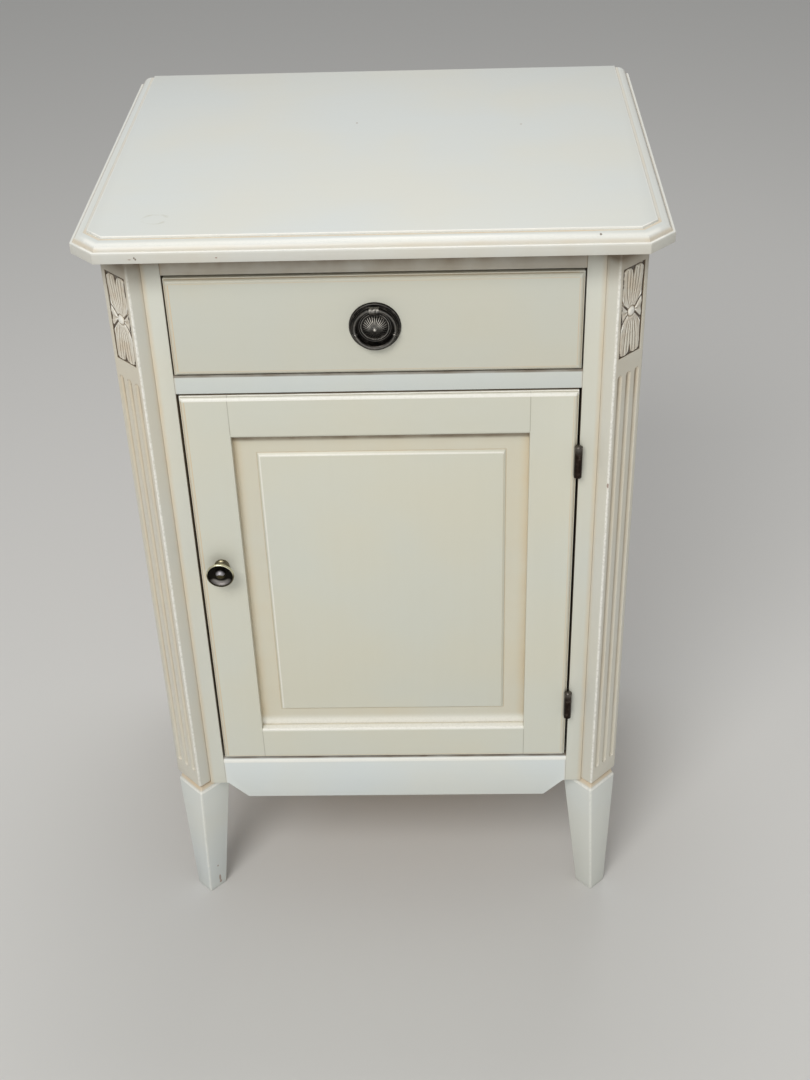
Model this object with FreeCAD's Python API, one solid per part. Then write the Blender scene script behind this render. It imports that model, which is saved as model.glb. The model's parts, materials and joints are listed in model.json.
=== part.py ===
import FreeCAD, Part
import math
import os

from FreeCAD import Placement, Rotation, Vector

# A painted side cabinet: one drawer over a panelled door, between canted and fluted corner posts,
# on tapered feet. Millimetres. X runs to the right of someone facing the front, Y to the back and
# Z up. The origin is on the floor, below the middle of the top board.

# Face frame, posts and case, in plan
OPENING_WIDTH = 320.0
STILE_WIDTH = 14.65
POST_SIDE = 34.3
POST_REVEAL = 9.0
CASE_DEPTH = 330.0
FRONT_OVERHANG = 28.0
SIDE_OVERHANG = 14.6
BACK_OVERHANG = 6.0

# Heights, from the floor upwards
FOOT_HEIGHT = 155.0
APRON_CUT = 18.0
APRON_HEIGHT = 50.0
DOOR_OPENING_HEIGHT = 391.5
MID_RAIL_HEIGHT = 16.5
DRAWER_OPENING_HEIGHT = 86.0
TOP_RAIL_HEIGHT = 23.0
TOP_THICKNESS = 16.0

# Top board: corner cut, and the moulding from its outer edge inwards
TOP_CORNER_CUT = 20.0
TOP_EDGE_HEIGHT = 8.6
TOP_FILLET = 2.4
TOP_OVOLO_WIDTH = 8.0
TOP_OVOLO_RISE = 5.8
TOP_LISTEL = 2.5

# Corner posts: flutes, carved panel and the groove above the foot
FLUTE_COUNT = 3
FLUTE_PITCH = 10.3
FLUTE_WIDTH = 5.8
FLUTE_DEPTH = 2.3
FLUTE_FOOT_MARGIN = 20.0
FLUTE_HEAD_MARGIN = 15.0
CARVING_WIDTH = 25.0
CARVING_HEIGHT = 75.0
CARVING_DROP = 23.0
CARVING_RECESS = 4.5
CARVING_GROUND = 1.6
CARVING_CLEARANCE = 0.1
GROOVE_DEPTH = 2.6
GROOVE_UPPER = 3.4
GROOVE_LOWER = 7.2

# Carved leaves: two lobes up, two down, two small side leaves and a round boss
LOBE_LENGTH = 38.0
LOBE_RADIUS = 7.4
LOBE_LEAN = 9.0
SIDE_LEAF_LENGTH = 13.0
SIDE_LEAF_RADIUS = 4.6
SIDE_LEAF_LEAN = 78.0
LEAF_CREST = 0.5
BOSS_RADIUS = 3.9
BOSS_SINK = 4.0

# Feet
FOOT_TIP_SIDE = 20.0
FOOT_TIP_OUT = 7.0
FOOT_TIP_BACK = 2.5
REAR_POST_SIDE = 30.0
REAR_TIP_INSET = 2.0
DOWEL_RADIUS = 5.0
DOWEL_LENGTH = 44.0
DOWEL_OFFSET = 7.0
DOWEL_CLEARANCE = 0.05

# Boards of the case
SIDE_THICKNESS = 16.0
TONGUE_THICKNESS = 6.0
TONGUE_LENGTH = 6.0
DADO_DEPTH = 5.0
BACK_THICKNESS = 5.0
BACK_REBATE = 10.0
BOTTOM_THICKNESS = 16.0
SHELF_THICKNESS = 16.0
SHELF_HEIGHT = 190.0
SHELF_SETBACK = 20.0
SHELF_CLEARANCE = 0.8
REAR_RAIL_THICKNESS = 18.0
CLEAT_WIDTH = 36.0
RAIL_TENON_LENGTH = 8.0
RAIL_TENON_THICKNESS = 8.0
RAIL_TENON_SHOULDER = 4.0
APRON_END = 2.0
APRON_ROUND = 5.0

# Shelf supports: a pin in the side panel under a flat tab
SUPPORT_PIN_RADIUS = 2.5
SUPPORT_PIN_DEPTH = 9.0
SUPPORT_TAB_LENGTH = 9.0
SUPPORT_TAB_WIDTH = 10.0
SUPPORT_TAB_THICKNESS = 2.5
SUPPORT_MARGIN = 35.0

# Drawer front and door stand a little proud of the frame and share one edge moulding
FRONT_PROUD = 3.5
FRONT_THICKNESS = 20.0
EDGE_FILLET = 0.9
EDGE_OVOLO = 3.0

# Drawer
DRAWER_SIDE_GAP = 1.3
DRAWER_TOP_GAP = 2.0
DRAWER_BOTTOM_GAP = 1.3
DRAWER_RUN_GAP = 0.3
DRAWER_GUIDE_GAP = 0.6
DRAWER_BACK_GAP = 21.5
DRAWER_SIDE_THICKNESS = 12.0
DRAWER_SIDE_DROP = 3.0
DRAWER_BACK_THICKNESS = 12.0
DRAWER_BACK_DROP = 8.0
DRAWER_BACK_HOUSING = 4.0
DRAWER_FLOOR_THICKNESS = 5.0
DRAWER_FLOOR_RISE = 10.0
DRAWER_FLOOR_GROOVE = 5.0
TAIL_COUNT = 3
TAIL_LENGTH = 12.0
TAIL_MARGIN = 7.0
TAIL_TIP_SHARE = 0.70
TAIL_ROOT_SHARE = 0.46
GUIDE_HEIGHT = 18.0
STOP_LENGTH = 12.0
STOP_WIDTH = 30.0
STOP_HEIGHT = 8.0
STOP_INSET = 60.0

# Door frame and panel
DOOR_TOP_GAP = 1.5
DOOR_BOTTOM_GAP = 2.5
DOOR_STILE_WIDTH = 38.0
DOOR_TOP_RAIL_HEIGHT = 38.0
DOOR_BOTTOM_RAIL_HEIGHT = 36.0
DOOR_TENON_LENGTH = 22.0
DOOR_TENON_SHOULDER = 12.0
DOOR_SIGHT_ROUND = 2.5
PANEL_RECESS = 8.0
PANEL_TONGUE_THICKNESS = 6.0
PANEL_TONGUE_LENGTH = 8.0
PANEL_SLACK = 2.0
PANEL_MARGIN = 18.5
FIELD_RISE = 2.2
FIELD_BEVEL = 2.2

# Butt hinges: the two leaves fill the gap at the door's hanging edge
LEAF_THICKNESS = 1.0
LEAF_GAP = 0.2
LEAF_REACH = 13.0
HINGE_LENGTH = 28.5
HINGE_INSET = 64.0
KNUCKLE_RADIUS = 3.25
KNUCKLE_GAP = 0.2
KNUCKLE_CLEARANCE = 0.25
BARREL_CLEARANCE = 1.4
HINGE_PIN_RADIUS = 1.5
HINGE_PIN_CLEARANCE = 0.05
HINGE_HEAD_RADIUS = 2.9
HINGE_HEAD_HEIGHT = 1.4
HINGE_SCREW_SHANK = 1.3
HINGE_SCREW_HEAD = 2.4
HINGE_SCREW_HEAD_HEIGHT = 1.1
HINGE_SCREW_LENGTH = 11.5
HINGE_SCREW_SPREAD = 17.0

# Ring pull
PLATE_RADIUS = 20.0
PLATE_EDGE = 1.0
PLATE_RIM_WIDTH = 1.9
PLATE_RIM_HEIGHT = 2.1
PLATE_GROUND = 1.4
ROSETTE_RADIUS = 11.6
ROSETTE_BEAD = 1.1
ROSETTE_HEIGHT = 5.2
ROSETTE_TIP_RADIUS = 1.6
ROSETTE_TIP_HEIGHT = 1.3
RING_RADIUS = 15.9
RING_ROD_RADIUS = 1.7
RING_SWELL_RADIUS = 2.25
RING_SWELL_ANGLE = 148.0
RING_COLLAR_RADIUS = 2.6
RING_COLLAR_ANGLE = 8.0
RING_STANDOFF = 4.9
EYE_RADIUS = 3.5
EYE_WIDTH = 7.6
EYE_GAP = 0.8
EYE_NECK_RADIUS = 2.7
PIVOT_RADIUS = 1.5
PIVOT_CLEARANCE = 0.08
SHANK_RADIUS = 2.0
SHANK_CLEARANCE = 0.05
SHANK_TAIL = 1.5
NUT_ACROSS_FLATS = 7.0
NUT_THICKNESS = 3.2

# Door knob: heights are shares of its projection, radii are its own
KNOB_PROJECTION = 16.4
KNOB_RADIUS = 11.75
KNOB_FOOT_RADIUS = 6.4
KNOB_NECK_RADIUS = 4.2
KNOB_LIP = 0.9
KNOB_BUTTON_RADIUS = 5.3
KNOB_FOOT_SHARE = 0.115
KNOB_COVE_SHARE = 0.34
KNOB_FLARE_SHARE = 0.66
KNOB_EDGE_SHARE = 0.85
KNOB_LIP_SHARE = 0.945
KNOB_DISH_SHARE = 0.70
KNOB_BUTTON_SHARE = 0.735
KNOB_RISE = 223.5
KNOB_SCREW_GRIP = 9.0
KNOB_SCREW_SHANK = 2.0
KNOB_SCREW_HEAD = 4.0
KNOB_SCREW_HEAD_HEIGHT = 2.4

# Magnet catch under the middle rail, and its strike plate on the door
CATCH_WIDTH = 46.0
CATCH_FOOT_THICKNESS = 2.0
CATCH_BODY_WIDTH = 26.0
CATCH_BODY_HEIGHT = 11.0
CATCH_DEPTH = 14.0
CATCH_INSET = 62.0
CATCH_GAP = 0.3
STRIKE_WIDTH = 36.0
STRIKE_HEIGHT = 11.0
STRIKE_THICKNESS = 1.0
STRIKE_DROP = 3.0

# Larger wood screws: top, back panel and catch
SCREW_SHANK = 1.9
SCREW_HEAD = 3.8
SCREW_HEAD_HEIGHT = 2.2
SCREW_CLEARANCE = 0.05
TOP_SCREW_BITE = 9.0
TOP_SCREW_MARGIN = 45.0
BACK_SCREW_LENGTH = 17.0
BACK_SCREW_MARGIN = 22.0
BACK_SCREWS_PER_POST = 3
CATCH_SCREW_LENGTH = 11.0
CATCH_SCREW_SHANK = 1.4
CATCH_SCREW_HEAD = 2.7
CATCH_SCREW_HEAD_HEIGHT = 1.3

# How far every cut runs past the face that it opens
OVERRUN = 30.0

# Places worked out in plan
HALF_OPENING = OPENING_WIDTH / 2
POST_HALF_DIAGONAL = POST_SIDE / math.sqrt(2)
STILE_OUTER_X = HALF_OPENING + STILE_WIDTH
POST_EDGE_X = STILE_OUTER_X + POST_REVEAL
POST_OUTER_X = POST_EDGE_X + POST_HALF_DIAGONAL
SIDE_X = POST_OUTER_X - POST_REVEAL
SIDE_INNER_X = SIDE_X - SIDE_THICKNESS
TONGUE_X = SIDE_X - (SIDE_THICKNESS + TONGUE_THICKNESS) / 2
REAR_POST_INNER_X = SIDE_X - REAR_POST_SIDE
TOP_HALF_WIDTH = POST_OUTER_X + SIDE_OVERHANG
TOP_DEPTH = FRONT_OVERHANG + CASE_DEPTH + BACK_OVERHANG
TOP_FRONT_Y = -TOP_DEPTH / 2
TOP_BACK_Y = TOP_DEPTH / 2
FRAME_Y = TOP_FRONT_Y + FRONT_OVERHANG
FACE_Y = FRAME_Y - FRONT_PROUD
FRONT_BACK_Y = FACE_Y + FRONT_THICKNESS
FRAME_BACK_Y = FRAME_Y + POST_HALF_DIAGONAL
POST_EDGE_Y = FRAME_Y - POST_REVEAL
POST_AXIS_Y = POST_EDGE_Y + POST_HALF_DIAGONAL
BACK_Y = FRAME_Y + CASE_DEPTH
BACK_PANEL_Y = BACK_Y - BACK_THICKNESS
REAR_POST_Y = BACK_Y - REAR_POST_SIDE

# Places worked out in height
APRON_BOTTOM = FOOT_HEIGHT - APRON_CUT
APRON_TOP = APRON_BOTTOM + APRON_HEIGHT
MID_RAIL_BOTTOM = APRON_TOP + DOOR_OPENING_HEIGHT
MID_RAIL_TOP = MID_RAIL_BOTTOM + MID_RAIL_HEIGHT
TOP_RAIL_BOTTOM = MID_RAIL_TOP + DRAWER_OPENING_HEIGHT
CASE_TOP = TOP_RAIL_BOTTOM + TOP_RAIL_HEIGHT
TOTAL_HEIGHT = CASE_TOP + TOP_THICKNESS
CARVING_TOP = CASE_TOP - CARVING_DROP
CARVING_BOTTOM = CARVING_TOP - CARVING_HEIGHT
SHELF_BOTTOM = APRON_TOP + SHELF_HEIGHT

# Drawer and door outlines
DRAWER_HALF = HALF_OPENING - DRAWER_SIDE_GAP
DRAWER_BOTTOM = MID_RAIL_TOP + DRAWER_BOTTOM_GAP
DRAWER_TOP = TOP_RAIL_BOTTOM - DRAWER_TOP_GAP
DRAWER_END_Y = BACK_PANEL_Y - DRAWER_BACK_GAP
DRAWER_SIDE_BOTTOM = MID_RAIL_TOP + DRAWER_RUN_GAP
DRAWER_SIDE_TOP = DRAWER_TOP - DRAWER_SIDE_DROP
DRAWER_FLOOR_Z = DRAWER_SIDE_BOTTOM + DRAWER_FLOOR_RISE
DOOR_SIDE_GAP = 2 * LEAF_THICKNESS + LEAF_GAP
DOOR_HALF = HALF_OPENING - DOOR_SIDE_GAP
DOOR_BOTTOM = APRON_TOP + DOOR_BOTTOM_GAP
DOOR_TOP = MID_RAIL_BOTTOM - DOOR_TOP_GAP
SIGHT_HALF = DOOR_HALF - DOOR_STILE_WIDTH
SIGHT_BOTTOM = DOOR_BOTTOM + DOOR_BOTTOM_RAIL_HEIGHT
SIGHT_TOP = DOOR_TOP - DOOR_TOP_RAIL_HEIGHT
PANEL_Y = FACE_Y + PANEL_RECESS
HINGE_X = HALF_OPENING - DOOR_SIDE_GAP / 2
HINGE_Y = FACE_Y + EDGE_OVOLO - KNUCKLE_RADIUS - BARREL_CLEARANCE
PULL_Z = (DRAWER_BOTTOM + DRAWER_TOP) / 2
KNOB_X = -(DOOR_HALF + SIGHT_HALF) / 2
KNOB_Z = DOOR_BOTTOM + KNOB_RISE
ORIGIN = Vector(0, 0, 0)
UP = Vector(0, 0, 1)


def box(x_low, x_high, y_low, y_high, z_low, z_high):
    """Upright block between two opposite corners."""
    return Part.makeBox(x_high - x_low, y_high - y_low, z_high - z_low, Vector(x_low, y_low, z_low))


def wide_box(half, y_low, y_high, z_low, z_high):
    """Block that reaches as far to the left of the middle as to the right."""
    return box(-half, half, y_low, y_high, z_low, z_high)


def outline(steps, at):
    """Closed wire through steps; a step of two points is an arc by way of the first to the second."""
    edges = []
    here = steps[0]
    for step in steps[1:] + steps[:1]:
        if isinstance(step[0], tuple):
            middle, end = step
            edges.append(Part.Arc(at(*here), at(*middle), at(*end)).toShape())
        else:
            end = step
            edges.append(Part.makeLine(at(*here), at(*end)))
        here = end
    return Part.Wire(edges)


def prism(corners, z_low, z_high):
    """Upright prism on an outline of (x, y) corners."""
    wire = outline(corners, lambda x, y: Vector(x, y, z_low))
    return Part.Face(wire).extrude(UP * (z_high - z_low))


def turned(steps):
    """Solid turned about the Z axis from an outline of (radius, height) steps."""
    wire = outline(steps, lambda radius, height: Vector(radius, 0, height))
    return Part.Face(wire).revolve(ORIGIN, UP, 360)


def rod(radius, start, end):
    """Round rod between two points."""
    return Part.makeCylinder(radius, (end - start).Length, start, end - start)


def joined(first, *others):
    """One solid from several that meet or cross."""
    return first.multiFuse(list(others)).removeSplitter()


def other_side(shape):
    """Left-hand twin of a right-hand piece."""
    return shape.mirror(ORIGIN, Vector(1, 0, 0))


def group(solids):
    """Separate solids kept under one name."""
    return Part.makeCompound(solids)


def stood_up(shape, x, y, z):
    """Piece modelled lying on its back, set upright to face the front."""
    shape.Placement = Placement(Vector(x, y, z), Rotation(Vector(1, 0, 0), 90))
    return shape


def driven(shape, head, direction):
    """Fastener modelled along -Z from its head, set at a point and turned to its direction."""
    shape.Placement = Placement(head, Rotation(-UP, direction))
    return shape


def on_canted_face(shape):
    """Piece modelled with X along the right-hand canted face and Y into the wood, set on that face."""
    shape.Placement = Placement(Vector(POST_EDGE_X, POST_EDGE_Y, 0), Rotation(UP, 45))
    return shape


def edge_waste(corners, level, steps):
    """Waste along each edge of an anticlockwise run of corners.

    The steps give the waste's section as (distance in from the edge, height above the level).
    """
    bars = []
    for (x0, y0), (x1, y1) in zip(corners, corners[1:]):
        along = Vector(x1 - x0, y1 - y0, 0)
        length = along.Length
        along.normalize()
        inward = UP.cross(along)
        start = Vector(x0, y0, level) - along * OVERRUN
        wire = outline(steps, lambda reach, height: start + inward * reach + UP * height)
        bars.append(Part.Face(wire).extrude(along * (length + 2 * OVERRUN)))
    return bars


def ovolo_waste(fillet, width, rise):
    """Section of the waste outside a fillet and a round that ends level, up to the end of the round."""
    radius = (width ** 2 + rise ** 2) / (2 * rise)
    half_turn = math.atan2(rise, width)
    middle = (fillet + width - radius * math.sin(half_turn), rise - radius + radius * math.cos(half_turn))
    return [(-OVERRUN, 0), (fillet, 0), (middle, (fillet + width, rise))]


def on_cap(base_radius, base, rise, radius):
    """Point at a radius on the spherical cap that rises from a base circle."""
    sphere = (base_radius ** 2 + rise ** 2) / (2 * rise)
    return radius, base + rise - sphere + math.sqrt(sphere ** 2 - radius ** 2)


def countersunk(head, head_height, shank, length, clearance=0):
    """Countersunk screw with its flat head at the origin; a clearance makes it the screw's hole."""
    return turned([(0, 0), (head + clearance, 0), (shank + clearance, -head_height),
                   (shank + clearance, shank - length), (0, -length)])


def pan_headed(head, head_height, shank, length, clearance=0):
    """Screw whose bevelled head stands on the surface; a clearance makes it the screw's hole."""
    return turned([(0, head_height), (head / 2, head_height), (head, head_height / 2), (head, 0),
                   (shank + clearance, 0), (shank + clearance, shank - length), (0, -length)])


def top_board():
    """Top with cut front corners, moulded on all sides but the back."""
    cut_x = TOP_HALF_WIDTH - TOP_CORNER_CUT
    cut_y = TOP_FRONT_Y + TOP_CORNER_CUT
    corners = [(-TOP_HALF_WIDTH, TOP_BACK_Y), (-TOP_HALF_WIDTH, cut_y), (-cut_x, TOP_FRONT_Y),
               (cut_x, TOP_FRONT_Y), (TOP_HALF_WIDTH, cut_y), (TOP_HALF_WIDTH, TOP_BACK_Y)]
    field = TOP_FILLET + TOP_OVOLO_WIDTH + TOP_LISTEL
    steps = ovolo_waste(TOP_FILLET, TOP_OVOLO_WIDTH, TOP_OVOLO_RISE)
    steps += [(field, TOP_OVOLO_RISE), (field, OVERRUN), (-OVERRUN, OVERRUN)]
    board = prism(corners, CASE_TOP, TOTAL_HEIGHT)
    return board.cut(edge_waste(corners, CASE_TOP + TOP_EDGE_HEIGHT, steps))


def flute(across):
    """Waste of one round-ended flute in the canted face."""
    half = FLUTE_WIDTH / 2
    radius = (half ** 2 + FLUTE_DEPTH ** 2) / (2 * FLUTE_DEPTH)
    bottom = Vector(across, FLUTE_DEPTH - radius, FOOT_HEIGHT + FLUTE_FOOT_MARGIN + half)
    top = Vector(across, FLUTE_DEPTH - radius, CARVING_BOTTOM - FLUTE_HEAD_MARGIN - half)
    return joined(rod(radius, bottom, top), Part.makeSphere(radius, bottom), Part.makeSphere(radius, top))


def groove_waste(height):
    """Section of the bevel that makes half of the V groove; a negative height bevels downwards."""
    past = math.copysign(OVERRUN, height)
    return [(-OVERRUN, -past), (GROOVE_DEPTH, -past), (GROOVE_DEPTH, 0), (0, height), (-OVERRUN, height)]


def front_dowel_axis():
    """Plan place of the front dowel, between the post's axis and its canted face."""
    shift = DOWEL_OFFSET * math.sin(math.pi / 4)
    return POST_EDGE_X + shift, POST_AXIS_Y - shift


def rear_dowel_axis():
    """Plan place of the rear dowel, in the middle of the post."""
    return SIDE_X - REAR_POST_SIDE / 2, BACK_Y - REAR_POST_SIDE / 2


def dowel(place, clearance=0):
    """Dowel between a post and its foot; a clearance makes it the dowel's hole."""
    x, y = place
    half = DOWEL_LENGTH / 2 + clearance
    return rod(DOWEL_RADIUS + clearance, Vector(x, y, FOOT_HEIGHT - half), Vector(x, y, FOOT_HEIGHT + half))


def carving_recess(margin):
    """Block that fills the recess of the carved panel, less a margin on its four sides."""
    half = CARVING_WIDTH / 2 - margin
    middle = POST_SIDE / 2
    return box(middle - half, middle + half, 0, CARVING_RECESS, CARVING_BOTTOM + margin, CARVING_TOP - margin)


def front_post():
    """Right-hand canted post with its flutes, carving recess, groove, tongue slot and dowel hole."""
    corners = [(STILE_OUTER_X, FRAME_Y), (POST_EDGE_X, POST_EDGE_Y), (POST_OUTER_X, POST_AXIS_Y),
               (SIDE_X, FRAME_BACK_Y), (STILE_OUTER_X, FRAME_BACK_Y)]
    post = prism(corners, FOOT_HEIGHT, CASE_TOP)
    waste = edge_waste(corners[:4], FOOT_HEIGHT, groove_waste(GROOVE_UPPER))
    for place in range(FLUTE_COUNT):
        across = POST_SIDE / 2 + (place - (FLUTE_COUNT - 1) / 2) * FLUTE_PITCH
        waste.append(on_canted_face(flute(across)))
    waste.append(on_canted_face(carving_recess(0)))
    waste.append(dowel(front_dowel_axis(), DOWEL_CLEARANCE))
    return post.cut(waste)


def spindle(length, radius, lean):
    """Leaf blank: an arc turned about its chord, leaning from upright about Y."""
    arc = Part.Arc(ORIGIN, Vector(radius, 0, length / 2), UP * length).toShape()
    chord = Part.makeLine(UP * length, ORIGIN)
    leaf = Part.Face(Part.Wire([arc, chord])).revolve(ORIGIN, UP, 360)
    leaf.rotate(ORIGIN, Vector(0, 1, 0), lean)
    return leaf


def carved_panel():
    """Right-hand carved panel: leaves that spring from a round boss, over a sunk ground."""
    fill = carving_recess(CARVING_CLEARANCE)
    centre = Vector(POST_SIDE / 2, 0, (CARVING_BOTTOM + CARVING_TOP) / 2)
    ground = fill.common(box(0, POST_SIDE, CARVING_RECESS - CARVING_GROUND, CARVING_RECESS,
                             CARVING_BOTTOM, CARVING_TOP))
    leaves = []
    for lean in (LOBE_LEAN, -LOBE_LEAN, 180 + LOBE_LEAN, 180 - LOBE_LEAN):
        lobe = spindle(LOBE_LENGTH, LOBE_RADIUS, lean)
        lobe.translate(centre + Vector(0, LOBE_RADIUS + LEAF_CREST, 0))
        leaves.append(lobe)
    for lean in (SIDE_LEAF_LEAN, -SIDE_LEAF_LEAN):
        leaf = spindle(SIDE_LEAF_LENGTH, SIDE_LEAF_RADIUS, lean)
        leaf.translate(centre + Vector(0, SIDE_LEAF_RADIUS + LEAF_CREST, 0))
        leaves.append(leaf)
    leaves.append(Part.makeSphere(BOSS_RADIUS, centre + Vector(0, BOSS_SINK, 0)))
    return on_canted_face(joined(ground, *leaves).common(fill))


def square_wire(x, y, z, side, turn):
    """Level square about a point, turned about the upright axis."""
    reach = side / math.sqrt(2)
    corners = []
    for quarter in range(4):
        angle = math.radians(turn + 45 + quarter * 90)
        corners.append(Vector(x + reach * math.cos(angle), y + reach * math.sin(angle), z))
    return Part.makePolygon(corners + corners[:1])


def foot(top_place, top_side, tip_place, turn, dowel_place):
    """Tapered square foot with a bevelled top and a dowel hole."""
    sections = [square_wire(*tip_place, 0, FOOT_TIP_SIDE, turn),
                square_wire(*top_place, FOOT_HEIGHT - GROOVE_LOWER, top_side, turn),
                square_wire(*top_place, FOOT_HEIGHT, top_side - 2 * GROOVE_DEPTH, turn)]
    return Part.makeLoft(sections, True, True).cut(dowel(dowel_place, DOWEL_CLEARANCE))


def front_foot():
    """Right-hand front foot, turned with the canted post."""
    top = (POST_EDGE_X, POST_AXIS_Y)
    tip = (POST_EDGE_X + FOOT_TIP_OUT, POST_AXIS_Y + FOOT_TIP_BACK)
    return foot(top, POST_SIDE, tip, 45, front_dowel_axis())


def rear_foot():
    """Right-hand rear foot, tapered towards its outer corner."""
    x, y = rear_dowel_axis()
    shift = (REAR_POST_SIDE - FOOT_TIP_SIDE) / 2 - REAR_TIP_INSET
    return foot((x, y), REAR_POST_SIDE, (x + shift, y + shift), 0, rear_dowel_axis())


def frame_rail(z_low, z_high, corners=None):
    """Rail of the face frame with a tenon at each end; corners shape its front as (x, z)."""
    corners = corners or [(-HALF_OPENING, z_low), (HALF_OPENING, z_low), (HALF_OPENING, z_high),
                          (-HALF_OPENING, z_high)]
    body = stood_up(prism(corners, 0, POST_HALF_DIAGONAL), 0, FRAME_BACK_Y, 0)
    tenon_y = FRAME_Y + (POST_HALF_DIAGONAL - RAIL_TENON_THICKNESS) / 2
    tenon = wide_box(HALF_OPENING + RAIL_TENON_LENGTH, tenon_y, tenon_y + RAIL_TENON_THICKNESS,
                     z_low + RAIL_TENON_SHOULDER, z_high - RAIL_TENON_SHOULDER)
    return joined(body, tenon)


def apron():
    """Bottom rail with its lower corners cut off and its upper front edge rounded."""
    cut_x = HALF_OPENING - APRON_END
    corners = [(-cut_x + APRON_CUT, APRON_BOTTOM), (cut_x - APRON_CUT, APRON_BOTTOM), (cut_x, FOOT_HEIGHT),
               (HALF_OPENING, FOOT_HEIGHT), (HALF_OPENING, APRON_TOP), (-HALF_OPENING, APRON_TOP),
               (-HALF_OPENING, FOOT_HEIGHT), (-cut_x, FOOT_HEIGHT)]
    rail = frame_rail(FOOT_HEIGHT, APRON_TOP, corners)
    middle = Vector(0, FRAME_Y, APRON_TOP)
    upper = [edge for edge in rail.Edges if edge.CenterOfMass.isEqual(middle, APRON_ROUND / 2)]
    return rail.makeFillet(APRON_ROUND, upper)


def frame_stile():
    """Right-hand stile before its mortises."""
    return box(HALF_OPENING, STILE_OUTER_X, FRAME_Y, FRAME_BACK_Y, FOOT_HEIGHT, CASE_TOP)


def case_board(z_low, z_high):
    """Level board housed in both sides and reaching between the rear posts to the back panel."""
    wide = wide_box(SIDE_INNER_X + DADO_DEPTH, FRAME_BACK_Y, REAR_POST_Y, z_low, z_high)
    narrow = wide_box(REAR_POST_INNER_X, REAR_POST_Y, BACK_PANEL_Y, z_low, z_high)
    return joined(wide, narrow)


def side_panel():
    """Right-hand side with a tongue along both upright edges."""
    board = box(SIDE_INNER_X, SIDE_X, FRAME_BACK_Y, REAR_POST_Y, FOOT_HEIGHT, CASE_TOP)
    tongue = box(TONGUE_X, TONGUE_X + TONGUE_THICKNESS, FRAME_BACK_Y - TONGUE_LENGTH,
                 REAR_POST_Y + TONGUE_LENGTH, FOOT_HEIGHT + GROOVE_UPPER, CASE_TOP)
    return joined(board, tongue)


def rear_post():
    """Right-hand rear post with its bevelled foot end and dowel hole."""
    post = box(REAR_POST_INNER_X, SIDE_X, REAR_POST_Y, BACK_Y, FOOT_HEIGHT, CASE_TOP)
    outer = [(SIDE_X, REAR_POST_Y), (SIDE_X, BACK_Y), (REAR_POST_INNER_X, BACK_Y)]
    waste = edge_waste(outer, FOOT_HEIGHT, groove_waste(GROOVE_UPPER))
    waste.append(dowel(rear_dowel_axis(), DOWEL_CLEARANCE))
    return post.cut(waste)


def shelf_support(y):
    """Right-hand shelf support: a pin in the side panel under the tab that carries the shelf."""
    tab = box(SIDE_INNER_X - SUPPORT_TAB_LENGTH, SIDE_INNER_X, y - SUPPORT_TAB_WIDTH / 2,
              y + SUPPORT_TAB_WIDTH / 2, SHELF_BOTTOM - SUPPORT_TAB_THICKNESS, SHELF_BOTTOM)
    z = SHELF_BOTTOM - SUPPORT_TAB_THICKNESS - SUPPORT_PIN_RADIUS
    neck = box(SIDE_INNER_X - SUPPORT_TAB_THICKNESS, SIDE_INNER_X, y - SUPPORT_TAB_WIDTH / 2,
               y + SUPPORT_TAB_WIDTH / 2, z - SUPPORT_TAB_WIDTH / 2, SHELF_BOTTOM)
    pin = rod(SUPPORT_PIN_RADIUS, Vector(SIDE_INNER_X - SUPPORT_TAB_THICKNESS, y, z),
              Vector(SIDE_INNER_X + SUPPORT_PIN_DEPTH, y, z))
    return joined(tab, neck, pin)


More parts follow.
